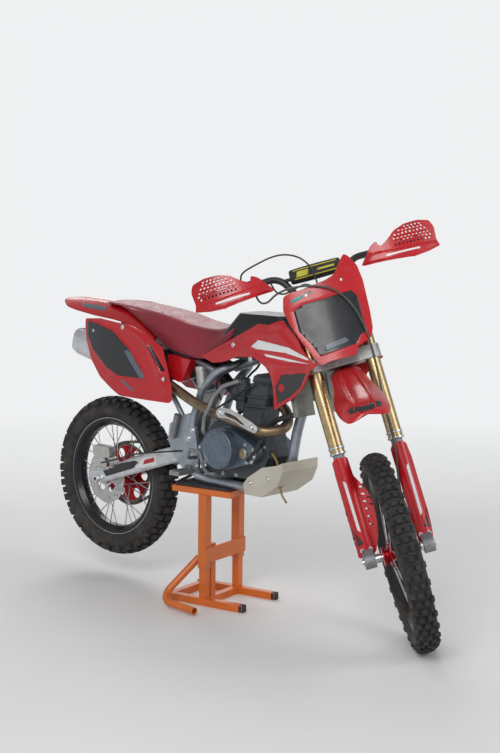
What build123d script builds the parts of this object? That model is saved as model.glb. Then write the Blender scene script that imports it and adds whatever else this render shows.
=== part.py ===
from build123d import *
import os
from math import asin, atan2, cos, degrees, hypot, pi, radians, sin, sqrt, tan

# A motocross bike on its paddock stand. Millimetres, +X forward, +Y to the rider's left, +Z up.
# The origin is on the floor under the middle of the stand's base. The bike hangs nose down on the
# stand: its front tyre touches the floor, its rear tyre is in the air, and its steering rests on
# the right-hand stop.

# Driving dimensions: axles, steering and tyres
rear_axle_x = -523.0
rear_axle_z = 363.0
steering_x = 503.7
steering_z = 900.0
rake = 22.4
steering_lock = 45.9
fork_offset = 19.4
axle_lead = 33.0
axle_drop = 659.5
front_tyre_radius = 316.0
front_tyre_width = 74.0
front_bead_radius = 241.0
front_rim_width = 46.0
rear_tyre_radius = 289.0
rear_tyre_width = 94.0
rear_bead_radius = 202.0
rear_rim_width = 58.0
rim_flange = 11.0
rim_depth = 17.0
tyre_clearance = 0.3
spoke_count = 32
spoke_radius = 1.8
seat_gap = 0.3

# Driving dimensions: front end
fork_spacing = 94.0
fork_tube_radius = 23.5
fork_slider_radius = 18.5
fork_top = 152.0
fork_tube_end = -318.0
fork_lug_top = -575.0
fork_lug_radius = 25.0
stem_boss = 26.0
clamp_wall = 7.0
clamp_low = -54.0
clamp_low_height = 42.0
clamp_high = 118.0
clamp_high_height = 28.0
stem_radius = 14.0
head_gap = 3.0
bearing_height = 15.0
head_bore_radius = 21.0
head_radius = 27.0
bearing_fit = 0.05
front_axle_radius = 10.0
rear_axle_radius = 9.0
axle_bore = 12.0
disc_thickness = 3.5
pad_gap = 1.5
front_disc_radius = 110.0
rear_disc_radius = 95.0
front_hub_half = 52.25
rear_hub_half = 54.5
carrier_radius = 31.0
spacer_radius = 14.0
spacer_gap = 0.4

# Driving dimensions: frame
spar_side = 77.0
spar_radius = 14.0
backbone_radius = 19.0
downtube_radius = 17.0
rail_side = 62.0
rail_radius = 14.0
rail_bottom = 410.0
pivot_x = -100.0
pivot_z = 500.0
plate_thickness = 14.0
arm_inner = 68.0
arm_width = 28.0

# Driving dimensions: engine
case_left = 46.0
case_right = 58.0
cover_height = 41.0

# Driving dimensions: chain
chain_pitch = 12.7
chain_side = 57.0
chain_width = 13.0
chain_height = 12.0
rear_teeth = 56
front_teeth = 15
front_sprocket_x = -38.0
front_sprocket_z = 516.0
tooth_clearance = 0.8
roller_radius = 4.2
sprocket_thickness = 5.0

# Driving dimensions: paddock stand
stand_yaw = 9.0
stand_tube = 25.0
stand_half_length = 162.0
stand_half_width = 100.0
sleeve_size = 32.0
sleeve_bottom = 130.0
mat_thickness = 8.0
plate_front = 112.0
plate_rear = -130.0
plate_tube = 20.0

# Derived places
rear_centre = Vector(rear_axle_x, 0, rear_axle_z)
tilt = radians(rake)
turn = radians(-steering_lock)
steer_up = Vector(-sin(tilt), 0, cos(tilt))
steer_forward = Vector(cos(tilt) * cos(turn), sin(turn), sin(tilt) * cos(turn))
STEER = Plane(origin=(steering_x, 0, steering_z), x_dir=steer_forward, z_dir=steer_up)
axle_ahead = fork_offset + axle_lead
front_centre = STEER.from_local_coords(Vector(axle_ahead, 0, -axle_drop))
STAND = Plane.XY.rotated((0, 0, stand_yaw))
vent_route = [
    Vector(*point) for point in (
        (262, -40, 545), (286, -45, 531), (303, -54, 506), (315, -60, 479), (319, -62, 455),
        (323, -63, 431), (336, -65, 411), (353, -68, 399),
    )
]
head_low = clamp_low + clamp_low_height + head_gap
head_high = clamp_high - head_gap
HEAD = Plane(origin=(steering_x, 0, steering_z), x_dir=(cos(tilt), 0, sin(tilt)), z_dir=steer_up)


def side(y):
    """The upright plane along the bike at y: its own x is forward and its own y is up."""
    return Plane.XZ.offset(-y)


def across(x):
    """The upright plane across the bike at x: its own x is to the left and its own y is up."""
    return Plane(origin=(x, 0, 0), x_dir=(0, 1, 0), z_dir=(1, 0, 0))


def steered_side(y):
    """As side, in the turned front end: x ahead of the steering axis, y up along it."""
    return Plane(
        origin=STEER.from_local_coords(Vector(0, y, 0)), x_dir=STEER.x_dir, z_dir=-STEER.y_dir
    )


def steered_across(ahead):
    """As across, in the turned front end."""
    return Plane(
        origin=STEER.from_local_coords(Vector(ahead, 0, 0)), x_dir=STEER.y_dir, z_dir=STEER.x_dir
    )


def steered(ahead, left, up):
    """A point of the turned front end."""
    return STEER.from_local_coords(Vector(ahead, left, up))


def stand_point(x, y, z):
    """A point of the stand, which stands askew under the bike."""
    return STAND.from_local_coords(Vector(x, y, z))


def bends(route, share=0.45):
    """Radii as large as the runs beside each corner of a route allow."""
    radii = []
    for before, corner, after in zip(route, route[1:], route[2:]):
        one = Vector(corner) - Vector(before)
        two = Vector(after) - Vector(corner)
        half_turn = radians(one.get_angle(two)) / 2
        radii.append(share * min(one.length, two.length) / tan(half_turn))
    return radii


def tube(route, radius, bore=0.0, largest=1000.0):
    """A round tube along a route of straight runs and tangent arcs."""
    radii = [min(size, largest) for size in bends(route)]
    with BuildPart(mode=Mode.PRIVATE) as piece:
        with BuildLine() as path:
            if radii:
                FilletPolyline(*route, radius=radii)
            else:
                Line(*route)
        with BuildSketch(Plane(origin=path.line @ 0, z_dir=path.line % 0)):
            Circle(radius)
            if bore:
                Circle(bore, mode=Mode.SUBTRACT)
        sweep(path=path.line)
    return piece.part


def mirrored(shape):
    """The same shape on the bike's other side."""
    return shape.mirror(Plane.XZ)


def finish(piece, label):
    """Names a finished piece and writes it."""
    piece.part.label = label
    export_step(piece.part, f"parts/{label}.step")


os.makedirs("parts", exist_ok=True)


# Wheels
def wheel_section(centre, left, forward):
    """The plane through a wheel's axle: its own x is along the axle, its own y is up."""
    return Plane(origin=centre, x_dir=left, z_dir=forward)


def make_tyre(centre, left, forward, radius, width, bead, rim_width):
    plane = wheel_section(centre, left, forward)
    seat = rim_width / 2 - 4 - tyre_clearance
    above = bead + rim_flange + 2
    widest = bead + 0.45 * (radius - bead)
    shoulder = radius - 0.16 * width
    with BuildPart() as tyre:
        with BuildSketch(plane):
            with BuildLine():
                Line((-seat, bead + tyre_clearance), (seat, bead + tyre_clearance))
                Line((seat, bead + tyre_clearance), (seat, above))
                ThreePointArc((seat, above), (width / 2, widest), (width * 0.47, shoulder))
                ThreePointArc((width * 0.47, shoulder), (0, radius), (-width * 0.47, shoulder))
                ThreePointArc((-width * 0.47, shoulder), (-width / 2, widest), (-seat, above))
                Line((-seat, above), (-seat, bead + tyre_clearance))
            make_face()
        revolve(axis=Axis(centre, left))
    return tyre


def make_rim(centre, left, forward, bead, width):
    half = width / 2
    with BuildPart() as rim:
        with BuildSketch(wheel_section(centre, left, forward)):
            with BuildLine():
                Polyline(
                    (-half, bead + rim_flange),
                    (-half, bead - 3),
                    (-half * 0.45, bead - rim_depth),
                    (half * 0.45, bead - rim_depth),
                    (half, bead - 3),
                    (half, bead + rim_flange),
                    (half - 4, bead + rim_flange),
                    (half - 4, bead),
                    (-half + 4, bead),
                    (-half + 4, bead + rim_flange),
                    close=True,
                )
            make_face()
        revolve(axis=Axis(centre, left))
    return rim


def make_hub(centre, left, forward, rim, bead, half_width, flange_side, flange_radius, bore):
    """Hub shell with crossed spokes that end at the rim's well."""
    spoke_end = bead - rim_depth + 1
    spoke_start = flange_radius - 4
    lean = radians(55)
    with BuildPart() as hub:
        with BuildSketch(wheel_section(centre, left, forward)):
            with BuildLine():
                Polyline(
                    (-half_width, bore),
                    (half_width, bore),
                    (half_width, carrier_radius),
                    (half_width - 5, carrier_radius),
                    (half_width - 9, bore + 12),
                    (flange_side + 5, bore + 12),
                    (flange_side + 2, flange_radius),
                    (flange_side - 3, flange_radius),
                    (flange_side - 8, bore + 10),
                    (-flange_side + 8, bore + 10),
                    (-flange_side + 3, flange_radius),
                    (-flange_side - 2, flange_radius),
                    (-flange_side - 5, bore + 12),
                    (-half_width + 9, bore + 12),
                    (-half_width + 5, carrier_radius),
                    (-half_width, carrier_radius),
                    close=True,
                )
            make_face()
        revolve(axis=Axis(centre, left))
        places = []
        spokes_plane = Plane(origin=centre, x_dir=forward, z_dir=left)
        for index in range(spoke_count):
            angle = 2 * pi * index / spoke_count
            hand = 1 if index % 2 else -1
            hole = angle - hand * lean
            face = flange_side if (index // 2) % 2 else -flange_side
            start = spokes_plane.from_local_coords(
                Vector(spoke_start * cos(hole), spoke_start * sin(hole), face)
            )
            end = spokes_plane.from_local_coords(
                Vector(spoke_end * cos(angle), spoke_end * sin(angle), face * 0.12)
            )
            run = end - start
            places.append((Location(Plane(origin=start, z_dir=run)), run.length))
        for place, length in places:
            with Locations(place):
                Cylinder(spoke_radius, length, align=(Align.CENTER, Align.CENTER, Align.MIN))
        add(rim.part, mode=Mode.SUBTRACT)
    return hub


def make_disc(centre, left, forward, radius, place, inner):
    plane = Plane(origin=centre, x_dir=forward, z_dir=left).offset(place - disc_thickness / 2)
    with BuildPart() as disc:
        with BuildSketch(plane):
            Circle(radius)
            Circle(inner, mode=Mode.SUBTRACT)
        extrude(amount=disc_thickness)
    return disc


front_axes = (front_centre, STEER.y_dir, STEER.x_dir)
rear_axes = (rear_centre, Vector(0, 1, 0), Vector(1, 0, 0))

front_tyre = make_tyre(
    *front_axes, front_tyre_radius, front_tyre_width, front_bead_radius, front_rim_width
)
finish(front_tyre, "front_tyre")
rear_tyre = make_tyre(
    *rear_axes, rear_tyre_radius, rear_tyre_width, rear_bead_radius, rear_rim_width
)
finish(rear_tyre, "rear_tyre")
front_rim = make_rim(*front_axes, front_bead_radius, front_rim_width)
finish(front_rim, "front_rim")
rear_rim = make_rim(*rear_axes, rear_bead_radius, rear_rim_width)
finish(rear_rim, "rear_rim")
front_hub = make_hub(
    *front_axes, front_rim, front_bead_radius, front_hub_half, 30, 34, front_axle_radius + bearing_fit
)
finish(front_hub, "front_hub")
rear_hub = make_hub(
    *rear_axes, rear_rim, rear_bead_radius, rear_hub_half, 30, 42, rear_axle_radius + bearing_fit
)
finish(rear_hub, "rear_hub")
front_disc_side = front_hub_half + disc_thickness / 2
front_disc = make_disc(*front_axes, front_disc_radius, front_disc_side, 24)
finish(front_disc, "front_disc")
rear_disc_side = -rear_hub_half - disc_thickness / 2
rear_disc = make_disc(*rear_axes, rear_disc_radius, rear_disc_side, 24)
finish(rear_disc, "rear_disc")

with BuildPart() as rear_sprocket:
    pitch_radius = chain_pitch / (2 * sin(pi / rear_teeth))
    tip_radius = pitch_radius - roller_radius - tooth_clearance
    with BuildSketch(Plane(origin=rear_centre, x_dir=(1, 0, 0), z_dir=(0, 1, 0)).offset(chain_side - sprocket_thickness / 2)):
        Circle(tip_radius)
        Circle(24, mode=Mode.SUBTRACT)
        with PolarLocations(80, 6):
            Circle(18, mode=Mode.SUBTRACT)
    extrude(amount=sprocket_thickness)
finish(rear_sprocket, "rear_sprocket")

with BuildPart() as front_axle:
    reach = fork_spacing + fork_lug_radius - 2
    with BuildSketch(Plane(origin=front_centre, x_dir=STEER.x_dir, z_dir=STEER.y_dir).offset(-reach)):
        Circle(front_axle_radius)
        Circle(axle_bore / 2, mode=Mode.SUBTRACT)
    extrude(amount=2 * reach)
    for hand in (-1, 1):
        start = front_hub_half + disc_thickness + spacer_gap
        with BuildSketch(Plane(origin=front_centre, x_dir=STEER.x_dir, z_dir=STEER.y_dir).offset(hand * start)):
            Circle(spacer_radius)
            Circle(front_axle_radius, mode=Mode.SUBTRACT)
        extrude(amount=hand * (fork_spacing - 17 - start))
finish(front_axle, "front_axle")

with BuildPart() as rear_axle:
    reach = arm_inner + arm_width + 10
    with BuildSketch(Plane(origin=rear_centre, x_dir=(1, 0, 0), z_dir=(0, 1, 0)).offset(-reach)):
        Circle(rear_axle_radius)
        Circle(axle_bore / 2, mode=Mode.SUBTRACT)
    extrude(amount=2 * reach)
    with BuildSketch(Plane(origin=rear_centre, x_dir=(1, 0, 0), z_dir=(0, 1, 0)).offset(-reach - 6)):
        RegularPolygon(15, 6)
        Circle(axle_bore / 2, mode=Mode.SUBTRACT)
    extrude(amount=6)
    with BuildSketch(Plane(origin=rear_centre, x_dir=(1, 0, 0), z_dir=(0, 1, 0)).offset(reach)):
        RegularPolygon(15, 6)
        Circle(axle_bore / 2, mode=Mode.SUBTRACT)
    extrude(amount=6)
    for hand in (-1, 1):
        start = rear_hub_half + spacer_gap
        with BuildSketch(side(hand * start)):
            with Locations((rear_axle_x, rear_axle_z)):
                Circle(spacer_radius)
                Circle(rear_axle_radius, mode=Mode.SUBTRACT)
        extrude(amount=-hand * (arm_inner - start))
finish(rear_axle, "rear_axle")

# Front end
with BuildPart() as triple_clamps:
    for height, thickness in ((clamp_low, clamp_low_height), (clamp_high, clamp_high_height)):
        with BuildSketch(STEER.offset(height)):
            with Locations((fork_offset, fork_spacing), (fork_offset, -fork_spacing)):
                Circle(fork_tube_radius + clamp_wall)
            Circle(stem_boss)
            make_hull()
            with Locations((fork_offset, fork_spacing), (fork_offset, -fork_spacing)):
                Circle(fork_tube_radius, mode=Mode.SUBTRACT)
        extrude(amount=thickness)
    with BuildSketch(STEER.offset(clamp_low)):
        Circle(stem_radius)
    extrude(amount=clamp_high + clamp_high_height + 10 - clamp_low)
    for height in (head_low + 1, head_high - bearing_height - 1):
        with BuildSketch(STEER.offset(height)):
            Circle(head_bore_radius - bearing_fit)
        extrude(amount=bearing_height)
    for left in (-38, 38):
        with BuildSketch(STEER.offset(clamp_high + clamp_high_height)):
            with Locations((20, left)):
                Rectangle(40, 20)
        extrude(amount=48)
        with BuildSketch(steered_side(left + 10)):
            with Locations((20, 172)):
                Circle(14)
        extrude(amount=20, mode=Mode.SUBTRACT)

with BuildPart() as fork_tubes:
    for left in (-fork_spacing, fork_spacing):
        with BuildSketch(STEER.offset(fork_tube_end)):
            with Locations((fork_offset, left)):
                Circle(fork_tube_radius)
        extrude(amount=fork_top - fork_tube_end)
finish(fork_tubes, "fork_tubes")

with BuildPart() as fork_lowers:
    for left in (-fork_spacing, fork_spacing):
        with BuildSketch(STEER.offset(fork_tube_end)):
            with Locations((fork_offset, left)):
                Circle(fork_slider_radius)
        extrude(amount=fork_lug_top - fork_tube_end)
        with BuildSketch(STEER.offset(fork_lug_top)):
            with Locations((fork_offset, left)):
                Circle(fork_lug_radius - 1)
        extrude(amount=-70)
        with BuildSketch(steered_side(left + 17)):
            with Locations((axle_ahead, -axle_drop)):
                Circle(fork_lug_radius)
            with Locations((fork_offset - 6, -axle_drop + 40)):
                Circle(fork_lug_radius - 8)
            make_hull()
        extrude(amount=34)
    with BuildSketch(steered_side(fork_spacing - 9)):
        with Locations((fork_offset - 6, -axle_drop + 40)):
            Circle(14)
        with Locations((axle_ahead - 88, -axle_drop + 48)):
            Circle(14)
        make_hull()
    extrude(amount=8)
    with BuildSketch(steered_side(fork_spacing + 60)):
        with Locations((axle_ahead, -axle_drop)):
            Circle(front_axle_radius)
    extrude(amount=2 * fork_spacing + 120, mode=Mode.SUBTRACT)
finish(fork_lowers, "fork_lowers")

with BuildPart() as fork_guards:
    for left in (-fork_spacing, fork_spacing):
        with BuildSketch(STEER.offset(fork_tube_end - 12)):
            with Locations((fork_offset, left)):
                Circle(fork_lug_radius + 3)
                Circle(fork_lug_radius - 1 + seat_gap, mode=Mode.SUBTRACT)
            with Locations((fork_offset - 30, left)):
                Rectangle(40, 80, mode=Mode.SUBTRACT)
        extrude(amount=-258)
finish(fork_guards, "fork_guards")

with BuildPart() as number_plate:
    with BuildSketch(STEER.offset(-60)):
        with BuildLine():
            ThreePointArc((92, -112), (128, 0), (92, 112))
            Line((92, 112), (88, 112))
            ThreePointArc((88, 112), (124, 0), (88, -112))
            Line((88, -112), (92, -112))
        make_face()
    extrude(amount=360)
    with BuildSketch(steered_across(60)) as outline:
        with BuildLine():
            Polyline(
                (-46, -36), (46, -36), (58, -20), (95, -10), (104, 30), (106, 232),
                (72, 266), (-72, 266), (-106, 232), (-104, 30), (-95, -10), (-58, -20),
                close=True,
            )
        make_face()
    extrude(amount=100, mode=Mode.INTERSECT)
finish(number_plate, "number_plate")

with triple_clamps:
    with BuildSketch(steered_across(40)):
        with Locations((0, -28)):
            Circle(6)
    extrude(amount=85)
    add(number_plate.part, mode=Mode.SUBTRACT)
finish(triple_clamps, "triple_clamps")


def arched(half_width, top, drop, wall):
    """Section of a fender: a shallow arch with turned-down edges."""
    return [
        (-half_width, top - drop), (-half_width * 0.72, top - drop * 0.3),
        (-half_width * 0.45, top), (half_width * 0.45, top),
        (half_width * 0.72, top - drop * 0.3), (half_width, top - drop),
        (half_width - wall, top - drop), (half_width * 0.72 - wall * 0.5, top - drop * 0.3 - wall),
        (half_width * 0.45, top - wall), (-half_width * 0.45, top - wall),
        (-half_width * 0.72 + wall * 0.5, top - drop * 0.3 - wall), (-half_width + wall, top - drop),
    ]


# Front fender: how far ahead, its top, half width and drop of its edges
with BuildPart() as front_fender:
    for ahead, top, half_width, drop in (
        (-62, -64, 46, 12), (-10, clamp_low - seat_gap, 56, 16), (50, clamp_low - 20, 60, 22),
        (142, -128, 78, 30), (200, -150, 90, 34), (290, -196, 86, 34), (345, -238, 60, 20),
    ):
        with BuildSketch(steered_across(ahead)):
            Polygon(*arched(half_width, top, drop, 4), align=None)
    loft(ruled=True)
finish(front_fender, "front_fender")

bar_half = [
    (20, 0, 172), (20, 62, 172), (2, 118, 278), (-58, 368, 284),
]
with BuildPart() as handlebar:
    half = tube([steered(*point) for point in bar_half], 11, largest=60)
    add(half)
    add(tube([steered(a, -l, u) for a, l, u in bar_half], 11, largest=60))
    add(tube([steered(5, -110, 262), steered(5, 110, 262)], 6))
finish(handlebar, "handlebar")

with BuildPart() as bar_pad:
    with BuildSketch(steered_side(84)):
        with Locations((5, 266)):
            RectangleRounded(46, 42, 12)
            with Locations((0, -4)):
                Circle(6 + seat_gap, mode=Mode.SUBTRACT)
    extrude(amount=168)
finish(bar_pad, "bar_pad")

with BuildPart() as hand_controls:
    for hand in (-1, 1):
        outer = steered(-58, hand * 368, 284)
        inner = steered(2, hand * 118, 278)
        along = (outer - inner).normalized()
        grip_start = outer - along * 120
        with BuildSketch(Plane(origin=grip_start, z_dir=along)):
            Circle(16)
            Circle(11, mode=Mode.SUBTRACT)
        extrude(amount=120)
        with BuildSketch(Plane(origin=grip_start - along * 60, z_dir=along)):
            Circle(18)
            Circle(11, mode=Mode.SUBTRACT)
        extrude(amount=28)
        perch = grip_start - along * 46
        out = STEER.x_dir * 42
        add(tube([perch + STEER.x_dir * 14, perch + out, perch + out + along * 165], 6, largest=20))
finish(hand_controls, "hand_controls")

with BuildPart() as hand_guards:
    for hand in (-1, 1):
        with BuildSketch(STEER.offset(212)):
            with BuildLine():
                ThreePointArc((30, hand * 150), (58, hand * 290), (24, hand * 395))
                Line((24, hand * 395), (20, hand * 393))
                ThreePointArc((20, hand * 393), (54, hand * 290), (26, hand * 150))
                Line((26, hand * 150), (30, hand * 150))
            make_face()
        extrude(amount=100)
        add(tube([steered(-6, hand * 165, 279), steered(36, hand * 165, 268)], 6))
    add(handlebar.part, mode=Mode.SUBTRACT)
finish(hand_guards, "hand_guards")

with BuildPart() as front_caliper:
    with BuildSketch(steered_side(fork_spacing - 17 - seat_gap)):
        with Locations((axle_ahead - 92, -axle_drop + 48)):
            RectangleRounded(56, 78, 14)
    extrude(amount=30)
    with BuildSketch(steered_side(front_disc_side + disc_thickness / 2 + pad_gap)):
        with Locations((axle_ahead, -axle_drop)):
            Circle(front_disc_radius + 3)
    extrude(amount=disc_thickness + 2 * pad_gap, mode=Mode.SUBTRACT)
finish(front_caliper, "front_caliper")

# Frame
with BuildPart() as frame_backbone:
    with BuildSketch(HEAD.offset(head_low)):
        Circle(head_radius)
    extrude(amount=head_high - head_low)
    add(tube([Vector(474, 0, 962), Vector(60, 0, 812)], backbone_radius))
    for hand in (-1, 1):
        spar = [
            Vector(110, hand * 6, 826), Vector(52, hand * spar_side, 806),
            Vector(-20, hand * spar_side, 735), Vector(-58, hand * spar_side, 640),
            Vector(-66, hand * spar_side, 600),
        ]
        add(tube(spar, spar_radius, largest=60))
        with BuildSketch(side(hand * spar_side + plate_thickness / 2)):
            with BuildLine():
                Polyline(
                    (-76, 647), (-124, 632), (-170, 600), (-178, 545), (-148, 490),
                    (-100, 448), (-40, 430), (-30, 500), (-50, 600),
                    close=True,
                )
            make_face()
        extrude(amount=plate_thickness)
    with BuildSketch(side(spar_side)):
        with Locations((-26, 728)):
            Circle(11)
        with Locations((-46, 448)):
            Circle(11)
    extrude(amount=2 * spar_side)
    with BuildSketch(HEAD.offset(clamp_low)):
        Circle(head_bore_radius)
    extrude(amount=clamp_high - clamp_low + 20, mode=Mode.SUBTRACT)
finish(frame_backbone, "frame_backbone")

with BuildPart() as frame_downtube:
    add(tube([Vector(484, 0, 944), Vector(343, 0, 662), Vector(310, 0, 490)], downtube_radius))
    for hand in (-1, 1):
        rail_z = rail_bottom + rail_radius
        rail = [
            Vector(314, hand * 8, 515), Vector(270, hand * rail_side, rail_z),
            Vector(0, hand * rail_side, rail_z), Vector(-48, hand * (spar_side + 1), 436),
        ]
        add(tube(rail, rail_radius, largest=60))
    add(frame_backbone.part, mode=Mode.SUBTRACT)
    with BuildSketch(HEAD.offset(clamp_low)):
        Circle(head_bore_radius)
    extrude(amount=clamp_high - clamp_low, mode=Mode.SUBTRACT)
finish(frame_downtube, "frame_downtube")

with BuildPart() as subframe:
    for hand in (-1, 1):
        add(tube([Vector(20, hand * 56, 800), Vector(-430, hand * 62, 928)], 10))
        add(tube([Vector(-112, hand * (spar_side - 4), 625), Vector(-330, hand * 60, 895)], 9))
    with BuildSketch(side(60)):
        with Locations((-400, 919)):
            Circle(9)
    extrude(amount=120)
    for hand in (-1, 1):
        with BuildSketch(side(hand * 60)):
            with Locations((-380, 914), (-180, 862)):
                Circle(7)
        extrude(amount=-hand * 110)
        with BuildSketch(Plane.XY.offset(670)):
            with BuildLine():
                ThreePointArc((-530, hand * 156), (-300, hand * 160), (-90, hand * 130))
                Polyline((-90, hand * 130), (-90, hand * 260), (-530, hand * 260), (-530, hand * 156))
            make_face()
        extrude(amount=300, mode=Mode.SUBTRACT)
    with BuildSketch(side(-64)):
        with Locations((-420, 878)):
            Rectangle(20, 90)
    extrude(amount=6)
    add(frame_backbone.part, mode=Mode.SUBTRACT)
finish(subframe, "subframe")

with BuildPart() as swingarm:
    # Place, top, bottom, inner side and outer side of each arm
    for hand in (-1, 1):
        for x, top, low, inner, outer in (
            (-572, 386, 342, arm_inner, arm_inner + arm_width),
            (-500, 402, 352, arm_inner, arm_inner + arm_width),
            (-352, 459, 400, arm_inner, arm_inner + arm_width),
            (-230, 500, 441, 56, 84), (-180, 516, 458, 42, 66), (-76, 512, 486, 42, 66),
        ):
            with BuildSketch(across(x)):
                Polygon(
                    (hand * inner, low + 6), (hand * (inner + 6), low), (hand * (outer - 6), low),
                    (hand * outer, low + 6), (hand * outer, top - 6), (hand * (outer - 6), top),
                    (hand * (inner + 6), top), (hand * inner, top - 6), align=None,
                )
        loft(ruled=True)
    with BuildSketch(side(50)):
        with BuildLine():
            Polyline((-212, 500), (-176, 512), (-130, 510), (-130, 486), (-205, 462), close=True)
        make_face()
    extrude(amount=100)
    with BuildSketch(side(150)):
        with Locations((rear_axle_x, rear_axle_z)):
            Circle(rear_axle_radius)
    extrude(amount=300, mode=Mode.SUBTRACT)
finish(swingarm, "swingarm")

with BuildPart() as shock_absorber:
    low = Vector(-150, 0, 516)
    high = Vector(-26, 0, 728)
    way = high - low
    with BuildSketch(Plane(origin=low, z_dir=way)):
        Circle(30)
    extrude(amount=way.length)
    for other in (frame_backbone, swingarm):
        add(other.part, mode=Mode.SUBTRACT)
finish(shock_absorber, "shock_absorber")

# Engine
with BuildPart() as crankcase:
    with BuildSketch(side(case_left)):
        with BuildLine():
            Polyline(
                (-28, 478), (-28, 580), (20, 628), (120, 640), (245, 610),
                (262, 530), (225, 452), (20, 447),
                close=True,
            )
        make_face()
    extrude(amount=case_left + case_right)
    with BuildSketch(side(case_left)):
        with Locations((front_sprocket_x, front_sprocket_z)):
            Circle(12)
    extrude(amount=-(chain_side + 5 - case_left))
    with BuildSketch(side(chain_side - sprocket_thickness / 2)):
        with Locations((front_sprocket_x, front_sprocket_z)):
            Circle(chain_pitch / (2 * sin(pi / front_teeth)) - roller_radius - tooth_clearance)
    extrude(amount=-sprocket_thickness)
    with BuildSketch(Plane(origin=vent_route[0], z_dir=vent_route[1] - vent_route[0])):
        Circle(6)
    extrude(amount=-24)
finish(crankcase, "crankcase")

# Side, where the cover starts, middle and reach of the round cover, rear circle of its base
with BuildPart() as engine_covers:
    for hand, start, middle, reach, rear in ((-1, case_right, 104, 135, 20), (1, case_left, 128, 112, 74)):
        with BuildSketch(side(hand * start)):
            with Locations((middle, 552)):
                Circle(72)
            with Locations((210, 545)):
                Circle(34)
            with Locations((rear, 525)):
                Circle(40)
            make_hull()
        extrude(amount=-hand * cover_height)
        with BuildSketch(side(hand * (start + cover_height))):
            with Locations((middle, 552)):
                Circle(66)
        extrude(amount=-hand * (reach - start - cover_height))
finish(engine_covers, "engine_covers")

with BuildPart() as cylinder_head:
    for height, x, depth, width in ((628, 165, 92, 96), (690, 185, 88, 92), (800, 222, 70, 84)):
        with BuildSketch(Plane.XY.offset(height)):
            with Locations((x, 0)):
                RectangleRounded(depth, width, 10)
    loft(ruled=True)
    add(crankcase.part, mode=Mode.SUBTRACT)
finish(cylinder_head, "cylinder_head")

muffler_start = Vector(-200, -104, 760)
muffler_end = Vector(-600, -116, 862)
with BuildPart() as muffler:
    muffler_way = muffler_end - muffler_start
    # Share of the length, half width and half height
    for share, half_width, half_height in ((0, 22, 22), (0.2, 38, 46), (0.94, 38, 48), (1, 32, 42)):
        with BuildSketch(Plane(origin=muffler_start + muffler_way * share, x_dir=(0, 1, 0), z_dir=muffler_way)):
            RectangleRounded(2 * half_width, 2 * half_height, half_width * 0.8)
    loft(ruled=True)
finish(muffler, "muffler")

header_route = [
    Vector(236, 0, 712), Vector(300, -10, 690), Vector(352, -62, 640), Vector(300, -128, 628),
    Vector(200, -136, 655), Vector(90, -126, 668), Vector(-20, -113, 690), Vector(-110, -104, 722),
    Vector(-205, -104, 762),
]
with BuildPart() as header_pipe:
    add(tube(header_route, 17))
    for other in (cylinder_head, muffler):
        add(other.part, mode=Mode.SUBTRACT)
finish(header_pipe, "header_pipe")

with BuildPart() as radiators:
    lean = radians(14)
    for hand in (-1, 1):
        with BuildSketch(Plane(origin=(428, 0, 690), x_dir=(0, 1, 0), z_dir=(cos(lean), 0, sin(lean)))):
            with Locations((hand * 84, 110)):
                Rectangle(80, 220)
        extrude(amount=22)
    for height, x in ((790, 414), (740, 426)):
        with BuildSketch(side(50)):
            with Locations((x, height)):
                Circle(6)
        extrude(amount=100)
    add(frame_downtube.part, mode=Mode.SUBTRACT)
finish(radiators, "radiators")

# Bodywork
shroud_outline = [
    (20, 860), (122, 907), (275, 976), (389, 994), (473, 951), (562, 912), (560, 890),
    (520, 852), (485, 792), (440, 755), (352, 707), (345, 780), (306, 840), (242, 866), (107, 842),
]
with BuildPart() as shrouds:
    for hand in (-1, 1):
        with BuildPart(mode=Mode.PRIVATE) as skin:
            with BuildSketch(Plane.XY.offset(690)):
                with BuildLine():
                    ThreePointArc((0, hand * 108), (300, hand * 128), (580, hand * 176))
                    Line((580, hand * 176), (580, hand * 171))
                    ThreePointArc((580, hand * 171), (300, hand * 123), (0, hand * 103))
                    Line((0, hand * 103), (0, hand * 108))
                make_face()
            extrude(amount=320)
            with BuildSketch(side(hand * 140 + 60)):
                with BuildLine():
                    Polyline(*shroud_outline, close=True)
                make_face()
            extrude(amount=120, mode=Mode.INTERSECT)
        add(skin.part)
finish(shrouds, "shrouds")

with BuildPart() as fuel_tank:
    # Height, middle, length and width
    for height, x, depth, width in ((850, 190, 250, 150), (930, 215, 290, 180), (1000, 220, 200, 130)):
        with BuildSketch(Plane.XY.offset(height)):
            with Locations((x, 0)):
                RectangleRounded(depth, width, 30)
    loft(ruled=True)
    for x, height in ((150, 895), (290, 930)):
        with BuildSketch(side(150)):
            with Locations((x, height)):
                Circle(8)
        extrude(amount=300)
    for hand in (-1, 1):
        with BuildSketch(Plane.XY.offset(800)):
            with BuildLine():
                ThreePointArc((0, hand * 103), (300, hand * 123), (580, hand * 171))
                Polyline((580, hand * 171), (580, hand * 260), (0, hand * 260), (0, hand * 103))
            make_face()
        extrude(amount=300, mode=Mode.SUBTRACT)
    add(frame_backbone.part, mode=Mode.SUBTRACT)
finish(fuel_tank, "fuel_tank")

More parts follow.
